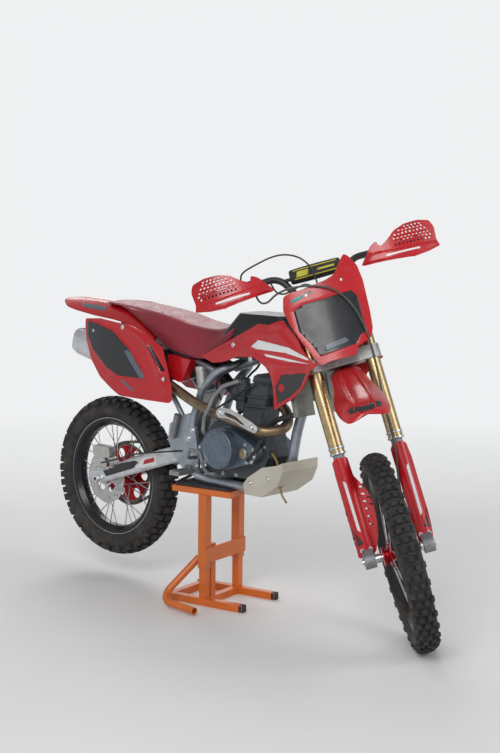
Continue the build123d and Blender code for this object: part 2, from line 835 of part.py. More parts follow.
panel_outline = [
    (-515, 945), (-517, 920), (-510, 868), (-482, 802), (-435, 746), (-375, 709), (-336, 689),
    (-216, 685), (-117, 682), (-106, 694), (-127, 811), (-146, 871), (-212, 910), (-283, 936),
    (-351, 942), (-430, 951),
]
with BuildPart() as side_panels:
    for hand in (-1, 1):
        with BuildPart(mode=Mode.PRIVATE) as skin:
            with BuildSketch(Plane.XY.offset(670)):
                with BuildLine():
                    ThreePointArc((-530, hand * 160), (-300, hand * 164), (-90, hand * 134))
                    Line((-90, hand * 134), (-90, hand * 130))
                    ThreePointArc((-90, hand * 130), (-300, hand * 160), (-530, hand * 156))
                    Line((-530, hand * 156), (-530, hand * 160))
                make_face()
            extrude(amount=300)
            with BuildSketch(side(hand * 140 + 60)):
                with BuildLine():
                    Polyline(*panel_outline, close=True)
                make_face()
            extrude(amount=120, mode=Mode.INTERSECT)
        add(skin.part)
finish(side_panels, "side_panels")

# Rear fender: place, its top, half width and drop of its edges
with BuildPart() as rear_fender:
    for x, top, half_width, drop in (
        (-773, 998, 46, 6), (-700, 1001, 84, 26), (-560, 997, 94, 40), (-400, 984, 92, 44),
        (-250, 912, 84, 36),
    ):
        with BuildSketch(across(x)):
            Polygon(*arched(half_width, top, drop, 4), align=None)
    loft(ruled=True)
finish(rear_fender, "rear_fender")

# Seat: place, its top, its underside, half width on top and below
with BuildPart() as seat:
    for x, top, low, upper, lower in (
        (-512, 1004, 994.3, 60, 66), (-400, 1000, 984.3, 72, 86), (-250, 985, 912.3, 76, 100),
        (-174, 973, 868, 76, 106), (-100, 957, 850, 76, 106), (0, 946, 838, 74, 104),
        (60, 948, 864, 70, 100), (140, 976, 930, 60, 96),
    ):
        with BuildSketch(across(x)):
            Polygon(
                (-lower, low), (lower, low), (lower, low + (top - low) * 0.4),
                (upper, top), (-upper, top), (-lower, low + (top - low) * 0.4), align=None,
            )
    loft(ruled=True)
    add(fuel_tank.part, mode=Mode.SUBTRACT)
finish(seat, "seat")

with BuildPart() as air_box:
    with BuildSketch(side(60)):
        with BuildLine():
            Polyline(
                (-290, 740), (-300, 858), (-170, 848), (-60, 832), (-5, 806), (-60, 772), (-130, 752),
                close=True,
            )
        make_face()
    extrude(amount=120)
    add(tube([Vector(-30, 0, 800), Vector(50, 0, 730), Vector(170, 0, 722)], 22))
    for other in (frame_backbone, subframe, cylinder_head, shock_absorber):
        add(other.part, mode=Mode.SUBTRACT)
finish(air_box, "air_box")

# Small parts of the engine and chassis
with BuildPart() as header_guard:
    with BuildSketch(side(-154)):
        with BuildLine():
            Polyline(
                (104, 650), (96, 672), (110, 692), (189, 690), (262, 664), (322, 656), (334, 640),
                (306, 612), (260, 622), (211, 640),
                close=True,
            )
        make_face()
        for place, angle in ((135, 0), (165, -4), (195, -9), (225, -14), (255, -18), (285, -10)):
            with Locations(Location((place, 690 - 0.3 * (place - 95), 0), (0, 0, 75 + angle))):
                SlotOverall(26, 7, mode=Mode.SUBTRACT)
    extrude(amount=3)
    with BuildSketch(side(-120)):
        with Locations((150, 668), (270, 640)):
            Circle(5)
    extrude(amount=34)
    add(header_pipe.part, mode=Mode.SUBTRACT)
finish(header_guard, "header_guard")

with BuildPart() as foot_controls:
    cover_side = case_right + cover_height
    add(tube([Vector(48, -cover_side, 590), Vector(50, -146, 600), Vector(62, -152, 655),
              Vector(104, -152, 727), Vector(146, -152, 767), Vector(219, -152, 791)], 7, largest=25))
    add(tube([Vector(-40, -84, 500), Vector(-40, -128, 503), Vector(-28, -130, 534), Vector(22, -130, 532),
              Vector(38, -130, 480), Vector(60, -130, 463), Vector(94, -130, 467)], 6, largest=14))
    add(tube([Vector(60, case_left + cover_height, 492), Vector(60, 106, 490), Vector(150, 112, 500),
              Vector(152, 140, 503)], 6, largest=14))
    for hand in (-1, 1):
        with BuildSketch(Plane.XY.offset(444)):
            with Locations((-70, hand * 128)):
                RectangleRounded(46, 76, 8)
                Rectangle(30, 60, mode=Mode.SUBTRACT)
            with Locations((-70, hand * 128)):
                Rectangle(8, 70)
        extrude(amount=14)
        with BuildSketch(Plane.XY.offset(444)):
            with Locations((-75, hand * 88)):
                Rectangle(30, 8)
        extrude(amount=24)
    with Locations(Location(Plane(origin=(-146, -94, 556), z_dir=(26, 0, 90)))):
        Cylinder(11, 86, align=(Align.CENTER, Align.CENTER, Align.MIN))
    add(engine_covers.part, mode=Mode.SUBTRACT)
    add(frame_backbone.part, mode=Mode.SUBTRACT)
finish(foot_controls, "foot_controls")

skid_outline = [
    (186, 406), (262, 406), (330, 452), (352, 500), (350, 530), (330, 520), (262, 504), (200, 464),
    (180, 440),
]
with BuildPart() as skid_plate:
    with BuildSketch(side(88)):
        with BuildLine():
            Polyline(*skid_outline, close=True)
        make_face()
    extrude(amount=176)
    with BuildSketch(side(84)):
        with BuildLine():
            Polyline((180, rail_bottom - seat_gap), (260, rail_bottom - seat_gap), (326, 455), (348, 501),
                     (346, 560), (100, 560), (100, rail_bottom - seat_gap), close=True)
        make_face()
    extrude(amount=168, mode=Mode.SUBTRACT)
    with BuildSketch(Plane.XY.offset(400)):
        with Locations((321, -62.5)):
            Circle(9)
    extrude(amount=60, mode=Mode.SUBTRACT)
finish(skid_plate, "skid_plate")

with BuildPart() as rear_caliper:
    with BuildSketch(side(-arm_inner + seat_gap)):
        with Locations((rear_axle_x, rear_axle_z)):
            Circle(22)
        with Locations((-540, 440)):
            Circle(16)
        make_hull()
        with Locations((rear_axle_x, rear_axle_z)):
            Circle(spacer_radius, mode=Mode.SUBTRACT)
    extrude(amount=-6)
    with BuildSketch(side(-arm_inner - 8)):
        with Locations((-530, 458)):
            RectangleRounded(88, 40, 12)
    extrude(amount=-32)
    with BuildSketch(side(rear_disc_side + disc_thickness / 2 + pad_gap)):
        with Locations((rear_axle_x, rear_axle_z)):
            Circle(rear_disc_radius + 3)
    extrude(amount=disc_thickness + 2 * pad_gap, mode=Mode.SUBTRACT)
finish(rear_caliper, "rear_caliper")

with BuildPart() as vent_hose:
    add(tube(vent_route, 3.5))
finish(vent_hose, "vent_hose")

# Stand
with BuildPart() as stand_base:
    for left in (-stand_half_width, stand_half_width):
        with BuildSketch(STAND):
            with Locations((0, left)):
                Rectangle(2 * stand_half_length, stand_tube)
        extrude(amount=stand_tube)
    for forward in (0, -stand_half_length + stand_tube):
        with BuildSketch(STAND):
            with Locations((forward, 0)):
                Rectangle(stand_tube, 2 * stand_half_width)
        extrude(amount=stand_tube)
    for left in (-stand_half_width, stand_half_width):
        with BuildSketch(STAND.offset(stand_tube)):
            with Locations((0, left)):
                Rectangle(sleeve_size - 6, sleeve_size - 6)
        extrude(amount=sleeve_bottom + 60 - stand_tube)
    with BuildSketch(STAND.offset(stand_tube)):
        with Locations((0, -stand_half_width + 36)):
            Rectangle(stand_tube, stand_tube)
    extrude(amount=210 - stand_tube)
finish(stand_base, "stand_base")

mat_top = rail_bottom
with BuildPart() as stand_lift:
    plate_top = mat_top - mat_thickness
    plate_low = plate_top - plate_tube
    for left in (-stand_half_width, stand_half_width):
        with BuildSketch(STAND.offset(sleeve_bottom)):
            with Locations((0, left)):
                Rectangle(sleeve_size, sleeve_size)
        extrude(amount=plate_low - sleeve_bottom)
        with BuildSketch(STAND.offset(plate_low)):
            with Locations(((plate_front + plate_rear) / 2, left)):
                Rectangle(plate_front - plate_rear, plate_tube)
        extrude(amount=plate_tube)
    with BuildSketch(STAND.offset(plate_top - 4)):
        with Locations(((plate_front + plate_rear) / 2, 0)):
            Rectangle(plate_front - plate_rear - 16, 2 * stand_half_width)
    extrude(amount=4)
    for forward in (plate_front - 18, plate_rear + 18):
        with BuildSketch(STAND.offset(plate_low)):
            with Locations((forward, 0)):
                Rectangle(plate_tube, 2 * stand_half_width)
        extrude(amount=plate_tube)
    with BuildSketch(STAND.offset(150)):
        with Locations((sleeve_size / 2 + 3, 0)):
            Rectangle(6, 2 * stand_half_width + sleeve_size)
    extrude(amount=52)
    add(stand_base.part, mode=Mode.SUBTRACT)
finish(stand_lift, "stand_lift")

with BuildPart() as stand_mat:
    with BuildSketch(STAND.offset(plate_top)):
        with Locations(((plate_front + plate_rear) / 2 - 4, 0)):
            RectangleRounded(plate_front - plate_rear - 20, 2 * stand_half_width, 8)
    extrude(amount=mat_thickness)
finish(stand_mat, "stand_mat")

with BuildPart() as stand_lever:
    lever_route = [
        stand_point(-29, -90, 160), stand_point(-110, -205, 26), stand_point(60, -240, 20),
    ]
    add(tube(lever_route, 12.5, bore=10, largest=40))
    with BuildSketch(Plane(origin=stand_point(-34, -94, 152), z_dir=STAND.x_dir)):
        Circle(9)
    extrude(amount=34 - sleeve_size / 2 - seat_gap)
finish(stand_lever, "stand_lever")

# Drive chain
with BuildPart() as drive_chain:
    front_pitch = chain_pitch / (2 * sin(pi / front_teeth))
    distance = hypot(front_sprocket_x - rear_axle_x, front_sprocket_z - rear_axle_z)
    slope = atan2(front_sprocket_z - rear_axle_z, front_sprocket_x - rear_axle_x)
    spread = asin((pitch_radius - front_pitch) / distance)
    with BuildSketch(side(chain_side + chain_width / 2)):
        with Locations((rear_axle_x, rear_axle_z)):
            Circle(pitch_radius + chain_height / 2)
        with Locations((front_sprocket_x, front_sprocket_z)):
            Circle(front_pitch + chain_height / 2)
        make_hull()
        with BuildSketch(side(chain_side + chain_width / 2), mode=Mode.PRIVATE) as inside:
            with Locations((rear_axle_x, rear_axle_z)):
                Circle(pitch_radius - roller_radius)
            with Locations((front_sprocket_x, front_sprocket_z)):
                Circle(front_pitch - roller_radius)
            make_hull()
        add(inside.sketch_local, mode=Mode.SUBTRACT)
    extrude(amount=chain_width)
finish(drive_chain, "drive_chain")
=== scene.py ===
from math import asin, cos, hypot, pi, radians, sin, sqrt

import bmesh
import bpy
from mathutils import Matrix, Vector
from mathutils.bvhtree import BVHTree


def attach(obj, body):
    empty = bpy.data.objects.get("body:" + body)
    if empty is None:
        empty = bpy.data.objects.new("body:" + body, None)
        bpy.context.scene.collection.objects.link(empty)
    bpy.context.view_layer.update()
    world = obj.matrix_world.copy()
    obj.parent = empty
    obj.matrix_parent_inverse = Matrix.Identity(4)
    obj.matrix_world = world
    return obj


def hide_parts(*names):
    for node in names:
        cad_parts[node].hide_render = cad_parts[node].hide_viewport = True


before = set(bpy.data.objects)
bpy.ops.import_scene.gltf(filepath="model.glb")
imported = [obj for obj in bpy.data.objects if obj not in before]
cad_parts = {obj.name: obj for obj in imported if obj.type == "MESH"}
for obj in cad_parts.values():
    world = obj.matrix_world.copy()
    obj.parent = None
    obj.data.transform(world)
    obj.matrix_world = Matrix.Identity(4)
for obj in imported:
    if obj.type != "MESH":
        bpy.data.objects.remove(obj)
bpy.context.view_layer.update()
scene = bpy.context.scene
ROOT, FRONT, FRONT_WHEEL, REAR_WHEEL = "bike_and_stand", "front_end", "front_wheel", "rear_wheel"

# Camera at the photograph's place, in metres and radians
camera_place = Vector((3.62798, -3.82075, 1.43083))
yaw, pitch, roll = radians(132.518), radians(7.1147), 0.011
focal_px, frame_height_px, sensor_mm = 1567.06, 753, 24.0
ahead = Vector((cos(pitch) * cos(yaw), cos(pitch) * sin(yaw), -sin(pitch)))
level = ahead.cross(Vector((0, 0, 1))).normalized()
rise = level.cross(ahead)
right = cos(roll) * level + sin(roll) * rise
above = -sin(roll) * level + cos(roll) * rise
lens = bpy.data.cameras.new("camera")
lens.sensor_fit = "VERTICAL"
lens.sensor_height = sensor_mm
lens.lens = focal_px / frame_height_px * sensor_mm
camera = bpy.data.objects.new("camera", lens)
camera.matrix_world = (
    Matrix.Translation(camera_place) @ Matrix((right, above, -ahead)).transposed().to_4x4()
)
scene.collection.objects.link(camera)
scene.camera = camera

# The turned front end: its own x is ahead, y is to the left and z is up the steering axis
tilt, turn = radians(22.4), radians(-45.9)
steer_origin = Vector((0.5037, 0, 0.9))
steer_up = Vector((-sin(tilt), 0, cos(tilt)))
steer_ahead = Vector((cos(tilt) * cos(turn), sin(turn), sin(tilt) * cos(turn)))
steer_left = steer_up.cross(steer_ahead)
STEER = Matrix.Translation(steer_origin) @ Matrix(
    (steer_ahead, steer_left, steer_up)
).transposed().to_4x4()
axle_ahead, axle_drop = 52.4, 659.5


def steered(ahead_mm, left_mm, up_mm):
    """A point of the turned front end, given in millimetres."""
    return STEER @ (Vector((ahead_mm, left_mm, up_mm)) / 1000)


def metres(x, y, z):
    return Vector((x, y, z)) / 1000


front_centre = steered(axle_ahead, 0, -axle_drop)
rear_centre = metres(-523, 0, 363)
cross_axis = Vector((0, 1, 0))


# Materials
class Look:
    """A material's node tree, with short calls for the nodes that it is made of."""

    def __init__(self, name, edge=0.0, **sockets):
        self.material = bpy.data.materials.new(name)
        self.material.use_nodes = True
        self.tree = self.material.node_tree
        self.shader = self.tree.nodes["Principled BSDF"]
        self.place = self.add("ShaderNodeTexCoord").outputs["Object"]
        self.under = None
        if edge:
            self.under = self.add("ShaderNodeBevel", {"samples": 4}, Radius=edge).outputs[0]
        for socket, value in sockets.items():
            self.set(socket.replace("_", " "), value)

    def add(self, kind, settings=(), **inputs):
        node = self.tree.nodes.new(kind)
        for key, value in dict(settings).items():
            setattr(node, key, value)
        for key, value in inputs.items():
            self.feed(node.inputs[key.replace("_", " ")], value)
        return node

    def feed(self, socket, value):
        if isinstance(value, bpy.types.NodeSocket):
            self.tree.links.new(value, socket)
        else:
            socket.default_value = value

    def set(self, socket, value):
        if socket == "Base Color" and not isinstance(value, bpy.types.NodeSocket):
            value = (*value, 1)
        self.feed(self.shader.inputs[socket], value)

    def noise(self, scale, detail=3.0, rough=0.55, stretch=None):
        place = self.place
        if stretch:
            place = self.add("ShaderNodeMapping", Vector=place, Scale=stretch).outputs[0]
        return self.add(
            "ShaderNodeTexNoise", Vector=place, Scale=scale, Detail=detail, Roughness=rough
        ).outputs[0]

    def cells(self, scale):
        return self.add("ShaderNodeTexVoronoi", Vector=self.place, Scale=scale).outputs[0]

    def span(self, value, low, high, out_low=0.0, out_high=1.0):
        node = self.add("ShaderNodeMapRange")
        for index, item in enumerate((value, low, high, out_low, out_high)):
            self.feed(node.inputs[index], item)
        return node.outputs[0]

    def cloud(self, scale, low=0.0, high=1.0, detail=3.0):
        """Soft noise, spread over the range from low to high."""
        return self.span(self.noise(scale, detail), 0.3, 0.7, low, high)

    def operate(self, kind, operation, *values):
        node = self.add(kind, {"operation": operation})
        for socket, value in zip(node.inputs, values):
            self.feed(socket, value)
        return node

    def math(self, operation, *values):
        return self.operate("ShaderNodeMath", operation, *values).outputs[0]

    def from_point(self, origin):
        return self.operate("ShaderNodeVectorMath", "SUBTRACT", self.place, origin).outputs[0]

    def along(self, origin, axis):
        """How far a point lies from origin along axis, in metres."""
        away = self.from_point(origin)
        return self.operate("ShaderNodeVectorMath", "DOT_PRODUCT", away, axis).outputs["Value"]

    def radial(self, origin, axis):
        """How far a point lies from the line through origin along axis, in metres."""
        away = self.from_point(origin)
        crossed = self.operate("ShaderNodeVectorMath", "CROSS_PRODUCT", away, axis).outputs[0]
        return self.operate("ShaderNodeVectorMath", "LENGTH", crossed).outputs["Value"]

    def mix(self, share, one, two):
        node = self.add("ShaderNodeMix", {"data_type": "RGBA"})
        for index, item in ((0, share), (6, one), (7, two)):
            if not isinstance(item, bpy.types.NodeSocket) and index:
                item = (*item, 1)
            self.feed(node.inputs[index], item)
        return node.outputs[2]

    def cloudy(self, colour, scale, detail, dark, light):
        """The colour, darker and lighter in soft clouds."""
        share = self.cloud(scale, detail=detail)
        return self.mix(share, tinted(colour, dark), tinted(colour, light))

    def bump(self, height, strength, distance=0.001):
        """Adds a bump over what the surface already has and returns its normal."""
        node = self.add("ShaderNodeBump", Height=height, Strength=strength, Distance=distance)
        if self.under:
            self.tree.links.new(self.under, node.inputs["Normal"])
        self.under = node.outputs[0]
        self.set("Normal", self.under)
        return self.under


def tinted(colour, share):
    return tuple(min(1.0, part * share) for part in colour)


def moulded(name, colour, rough=0.3, coat=0.4, grain=900, depth=0.05, scuff=0.22, edge=0.0012):
    """Moulded plastic: slight cloudiness, fine grain and hairline scuffs in its gloss."""
    look = Look(name, edge, Coat_Weight=coat, Coat_Roughness=0.15)
    clean = look.cloudy(colour, 9, 4, 0.88, 1.08)
    dust = look.span(look.noise(26, 5, 0.65), 0.58, 0.82, 0, 0.12)
    look.set("Base Color", look.mix(dust, clean, (0.3, 0.26, 0.22)))
    hair = look.noise(160, 2, 0.6, stretch=(1, 1, 9))
    marks = look.span(hair, 0.62, 0.78, 0, scuff)
    look.set("Roughness", look.math("ADD", marks, look.cloud(30, rough - 0.05, rough + 0.08)))
    look.bump(look.noise(grain, 2), depth, 0.0004)
    return look


def metallic(name, colour, rough=0.35, metal=1.0, brush=None, grain=600, grime=0.25):
    """Bare or plated metal: brushed or cast grain, with grime in patches."""
    look = Look(name, 0.0012, Metallic=metal)
    patch = look.span(look.noise(14, 5, 0.6), 0.45, 0.75, 0, grime)
    look.colour = look.mix(patch, look.cloudy(colour, 40, 3, 0.88, 1.1), (0.05, 0.045, 0.04))
    look.set("Base Color", look.colour)
    look.set("Roughness", look.math("ADD", patch, look.cloud(90, rough - 0.06, rough + 0.08)))
    look.bump(look.noise(grain, 3, 0.6, stretch=brush), 0.05, 0.0005)
    return look


def cast(name, colour, rough=0.55, grime=0.35):
    """Sand-cast or blasted alloy: a dull skin with a pebbled surface and grime where it lies."""
    look = Look(name, 0.0015, Metallic=0.7)
    patch = look.span(look.noise(11, 5, 0.65), 0.42, 0.78, 0, grime)
    look.set("Base Color", look.mix(patch, look.cloudy(colour, 60, 4, 0.8, 1.15), (0.04, 0.035, 0.03)))
    look.set("Roughness", look.cloud(120, rough - 0.08, rough + 0.12))
    look.bump(look.noise(70, 4), 0.12, 0.001)
    look.bump(look.cells(650), 0.25, 0.0004)
    return look


def rubbery(name, colour, rough=0.8, dust=0.3, grain=500, edge=0.001):
    """Rubber with a matt skin and dry dust where noise lets it lie."""
    look = Look(name, edge)
    lie = look.span(look.noise(18, 6, 0.65), 0.48, 0.78, 0, dust)
    look.set("Base Color", look.mix(lie, look.cloudy(colour, 50, 3, 0.75, 1.3), (0.16, 0.13, 0.1)))
    look.set("Roughness", look.cloud(60, rough - 0.1, rough + 0.08))
    look.bump(look.noise(grain, 3, 0.6), 0.22, 0.0006)
    return look


def tyre(name, centre, axle, bead, crown):
    """Tyre rubber with raised rings round its sidewall and dust between its knobs."""
    look = rubbery(name, (0.02, 0.02, 0.022), dust=0.35)
    out = look.radial(centre, axle)
    wave = look.math("SINE", look.math("MULTIPLY", out, 1400.0))
    wall = look.span(out, bead, bead + 0.014, 1.0, 0.0)
    look.bump(look.math("MULTIPLY", wave, wall), 0.5, 0.0008)
    floor_dust = look.span(out, crown - 0.006, crown + 0.004, 0.45, 0.0)
    worn = look.span(look.noise(24, 5, 0.6), 0.35, 0.7)
    base = look.shader.inputs["Base Color"].links[0].from_socket
    look.set("Base Color", look.mix(look.math("MULTIPLY", floor_dust, worn), base, (0.09, 0.075, 0.06)))
    return look


def coated(name, colour, rough=0.38):
    """Powder coat over steel: orange peel, scuffs through to a darker tone."""
    look = Look(name, 0.0012, Coat_Weight=0.25, Coat_Roughness=0.25)
    worn = look.span(look.noise(55, 6, 0.7), 0.66, 0.74)
    shade = look.cloudy(colour, 8, 4, 0.86, 1.06)
    look.set("Base Color", look.mix(worn, shade, tinted(colour, 0.3)))
    patches = look.cloud(25, rough - 0.05, rough + 0.1)
    look.set("Roughness", look.math("ADD", look.math("MULTIPLY", worn, 0.3), patches))
    look.bump(look.noise(260, 2), 0.16, 0.0006)
    return look


def vinyl(name, colour):
    """Grip vinyl: small raised cells under a soft sheen, with painted shade darkening it where it is
    creased.
    """
    look = Look(name, Sheen_Weight=0.12)
    shade = look.cloudy(colour, 12, 5, 0.8, 1.1)
    cell = look.cells(420)
    # Painted shade: the colour darkens along the cell borders, in the creases of the grain
    look.set("Base Color", look.mix(look.span(cell, 0.0, 0.6, 0, 0.25), shade, tinted(colour, 0.45)))
    look.set("Roughness", look.cloud(60, 0.44, 0.62))
    look.bump(look.noise(22, 3), 0.12, 0.003)
    look.bump(cell, 0.45, 0.0006)
    return look


def heated(name, colour, hot):
    """Exhaust steel: straw and brown heat colours in bands, with soot in patches."""
    look = Look(name, 0.001, Metallic=1.0)
    shade = look.mix(look.span(look.noise(7, 4, 0.6), 0.35, 0.65), colour, hot)
    soot = look.span(look.noise(45, 5, 0.7), 0.5, 0.75, 0, 0.6)
    look.set("Base Color", look.mix(soot, shade, (0.05, 0.04, 0.035)))
    look.set("Roughness", look.cloud(80, 0.34, 0.55))
    look.bump(look.noise(500, 3), 0.12, 0.0005)
    return look


def thin_film(name, colour, rough, coat, depth=0.03):
    """The film that labels and printed fields are made of."""
    return moulded(name, colour, rough, coat, grain=300, depth=depth, edge=0)


red_plastic = moulded("red_plastic", (0.5, 0.006, 0.012))
black_plastic = moulded("black_plastic", (0.016, 0.017, 0.02), rough=0.42, coat=0.1, depth=0.12)
black_film = thin_film("black_film", (0.014, 0.015, 0.018), 0.3, 0.3)
white_film = thin_film("white_film", (0.78, 0.79, 0.8), 0.35, 0.2)
slate_film = thin_film("slate_film", (0.1, 0.13, 0.17), 0.35, 0.2)
red_film = thin_film("red_film", (0.5, 0.02, 0.03), 0.35, 0.2)
teal_film = thin_film("teal_film", (0.05, 0.32, 0.3), 0.4, 0.1)
yellow_film = thin_film("yellow_film", (0.55, 0.5, 0.03), 0.5, 0.0, depth=0.05)
for deep in (red_plastic, black_film, red_film):
    deep.set("Specular IOR Level", 0.35)
frame_silver = metallic(
    "frame_silver", (0.36, 0.4, 0.45), rough=0.4, metal=0.75, brush=(1, 1, 12), grime=0.3,
)
arm_silver = metallic(
    "arm_silver", (0.62, 0.64, 0.66), rough=0.42, metal=0.5, brush=(1, 8, 8), grime=0.22,
)
polished = metallic("polished", (0.6, 0.61, 0.63), rough=0.24, grime=0.22)
shock_silver = metallic("shock_silver", (0.5, 0.5, 0.48), rough=0.36, metal=0.8, grime=0.28)
pedal_metal = metallic("pedal_metal", (0.3, 0.31, 0.32), rough=0.45, metal=0.8, grime=0.45)
cast_grey = cast("cast_grey", (0.3, 0.31, 0.32))
cast_dark = cast("cast_dark", (0.1, 0.11, 0.12))
clamp_grey = cast("clamp_grey", (0.42, 0.42, 0.41), rough=0.42, grime=0.2)
slate_cover = cast("slate_cover", (0.15, 0.19, 0.24), rough=0.4, grime=0.25)
disc_steel = metallic("disc_steel", (0.5, 0.5, 0.5), rough=0.3, grain=1500, grime=0.12)
chain_steel = metallic("chain_steel", (0.16, 0.14, 0.12), rough=0.42, grime=0.55)
header_heat = heated("header_heat", (0.3, 0.23, 0.18), (0.24, 0.17, 0.1))
muffler_skin = metallic("muffler_skin", (0.6, 0.61, 0.63), rough=0.36, brush=(14, 1, 1), grime=0.2)
guard_silver = metallic("guard_silver", (0.66, 0.66, 0.66), rough=0.3, grime=0.15)
radiator_core = cast("radiator_core", (0.27, 0.29, 0.26), rough=0.5)
caliper_gold = metallic("caliper_gold", (0.55, 0.47, 0.32), rough=0.36, grime=0.2)
skid_beige = moulded("skid_beige", (0.55, 0.52, 0.43), rough=0.6, coat=0.0, depth=0.15, scuff=0.3)
stand_orange = coated("stand_orange", (0.68, 0.15, 0.015))
mat_rubber = rubbery("mat_rubber", (0.03, 0.034, 0.04), dust=0.2)
grip_rubber = rubbery("grip_rubber", (0.016, 0.016, 0.018), dust=0.08)
hose_tan = rubbery("hose_tan", (0.3, 0.2, 0.07), rough=0.5, dust=0.1)
hose_olive = rubbery("hose_olive", (0.06, 0.065, 0.055), rough=0.42, dust=0.08)
hose_black = rubbery("hose_black", (0.02, 0.021, 0.021), rough=0.5, dust=0.1)
seat_red = vinyl("seat_red", (0.3, 0.018, 0.035))
pad_cloth = rubbery("pad_cloth", (0.014, 0.014, 0.016), rough=0.7, dust=0.05, grain=900, edge=0)
front_rubber = tyre("front_rubber", front_centre, steer_left, 0.252, 0.306)
rear_rubber = tyre("rear_rubber", rear_centre, cross_axis, 0.213, 0.276)


def banded(look, place, other, start, end):
    """Turns a metal's colour to another's between two values of place."""
    look.set("Base Color", look.mix(look.span(place, start, end), look.colour, other))
    return look


fork_gold = metallic("fork_gold", (0.46, 0.35, 0.19), rough=0.3, brush=(10, 10, 1), grime=0.03)
banded(fork_gold, fork_gold.along(steer_origin, steer_up), (0.5, 0.37, 0.19), 0.2, 0.3)
# Black rims with a thin bright band at the lip that is a painted highlight, red hub shells and steel
# spokes
rim_looks, hub_looks = [], []
for wheel, centre, axle, lip, shell in (
    ("front", front_centre, steer_left, 0.2495, 0.042), ("rear", rear_centre, cross_axis, 0.2105, 0.05),
):
    rim = metallic(wheel + "_rim_black", (0.02, 0.02, 0.024), rough=0.26, metal=0.5, grime=0.06)
    # The bright band from lip outward is a painted highlight along the rim's flange
    rim_looks.append(banded(rim, rim.radial(centre, axle), (0.5, 0.5, 0.52), lip, lip + 0.0008))
    hub = metallic(wheel + "_hub_red", (0.42, 0.01, 0.016), rough=0.3, metal=0.8, grime=0.15)
    hub_looks.append(banded(hub, hub.radial(centre, axle), (0.42, 0.42, 0.43), shell, shell + 0.001))
sprocket_red = metallic("sprocket_red", (0.42, 0.01, 0.016), rough=0.3, metal=0.8, grime=0.2)
banded(sprocket_red, sprocket_red.radial(rear_centre, cross_axis), (0.16, 0.15, 0.14), 0.1, 0.101)

LOOKS = {
    "front_tyre": front_rubber, "rear_tyre": rear_rubber, "front_rim": rim_looks[0],
    "rear_rim": rim_looks[1], "front_hub": hub_looks[0], "rear_hub": hub_looks[1],
    "front_disc": disc_steel, "rear_disc": disc_steel, "rear_sprocket": sprocket_red,
    "front_axle": polished, "rear_axle": polished, "drive_chain": chain_steel,
    "air_box": black_plastic, "crankcase": cast_dark, "cylinder_head": cast_dark,
    "engine_covers": slate_cover, "foot_controls": pedal_metal, "frame_backbone": frame_silver,
    "frame_downtube": frame_silver, "subframe": frame_silver, "swingarm": arm_silver,
    "fuel_tank": black_plastic, "header_guard": guard_silver, "header_pipe": header_heat,
    "muffler": muffler_skin, "radiators": radiator_core, "rear_caliper": shock_silver,
    "rear_fender": red_plastic, "seat": seat_red, "shock_absorber": shock_silver,
    "shrouds": red_plastic, "side_panels": red_plastic, "skid_plate": skid_beige,
    "stand_base": stand_orange, "stand_lever": stand_orange, "stand_lift": stand_orange,
    "stand_mat": mat_rubber, "triple_clamps": clamp_grey, "fork_tubes": fork_gold,
    "fork_lowers": cast_grey, "fork_guards": red_plastic, "number_plate": red_plastic,
    "front_fender": red_plastic, "handlebar": black_plastic, "hand_controls": grip_rubber,
    "hand_guards": red_plastic, "front_caliper": caliper_gold, "bar_pad": pad_cloth,
    "vent_hose": hose_tan,
}
for node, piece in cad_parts.items():
    look = LOOKS.get(node, pedal_metal)
    if not piece.material_slots:
        piece.data.materials.append(look.material)
    for holder in piece.material_slots:
        holder.material = look.material


def new_piece(name, shape, body, look):
    shape.materials.append(look.material)
    piece = bpy.data.objects.new(name, shape)
    scene.collection.objects.link(piece)
    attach(piece, body)
    return piece


def tube(name, places, radius, corners, steps):
    """A round tube along a smooth line; places and radius are in metres."""
    line = bpy.data.curves.new(name, "CURVE")
    line.dimensions = "3D"
    line.bevel_depth = radius
    line.bevel_resolution = corners
    line.use_fill_caps = True
    spline = line.splines.new("NURBS")
    spline.points.add(len(places) - 1)
    for point, place in zip(spline.points, places):
        point.co = (*place, 1)
    spline.order_u = 3
    spline.use_endpoint_u = True
    spline.resolution_u = steps
    return line


# The vent hose hangs from its spigot on the crankcase; its points are those of its solid
VENT_ROUTE = (
    (0.262, -0.040, 0.545), (0.286, -0.045, 0.531), (0.303, -0.054, 0.506), (0.315, -0.060, 0.479),
    (0.319, -0.062, 0.455), (0.323, -0.063, 0.431), (0.336, -0.065, 0.411), (0.353, -0.068, 0.399),
)
VENT_LENGTH, VENT_RADIUS = 0.186, 0.0035
vent_line = new_piece(
    "vent_line", tube("vent_line", VENT_ROUTE, VENT_RADIUS, 5, 8), ROOT, hose_tan,
)
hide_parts("vent_hose")


# Mesh helpers. Outlines are in millimetres.
def circle(x, y, radius, corners=10):
    return [
        (x + radius * cos(2 * pi * turn / corners), y + radius * sin(2 * pi * turn / corners))
        for turn in range(corners)
    ]


def centre_of(one, middle, two):
    """The centre of the circle through three points."""
    (a, p), (b, q), (c, r) = one, middle, two
    turned = 2 * (a * (q - r) + b * (r - p) + c * (p - q))
    s, t, u = a * a + p * p, b * b + q * q, c * c + r * r
    return Vector((
        (s * (q - r) + t * (r - p) + u * (p - q)) / turned,
        (s * (c - b) + t * (a - c) + u * (b - a)) / turned,
    ))


def bridged(shape, one, two):
    """Adds the faces between two rings of vertices."""
    corners = zip(one, one[1:] + one[:1], two[1:] + two[:1], two)
    return [shape.faces.new(face) for face in corners]


def closed(shape, rows):
    """Adds a closed skin over rows of points that each run round the piece."""
    rings = [[shape.verts.new(point) for point in row] for row in rows]
    for one, two in zip(rings, rings[1:]):
        bridged(shape, one, two)
    shape.faces.new(rings[0][::-1])
    shape.faces.new(rings[-1])


def mesh_of(name, shape, soft=True):
    """The mesh of a finished bmesh, shaded smooth if it is soft."""
    flat = bpy.data.meshes.new(name)
    shape.to_mesh(flat)
    shape.free()
    if soft:
        flat.polygons.foreach_set("use_smooth", [True] * len(flat.polygons))
    return flat


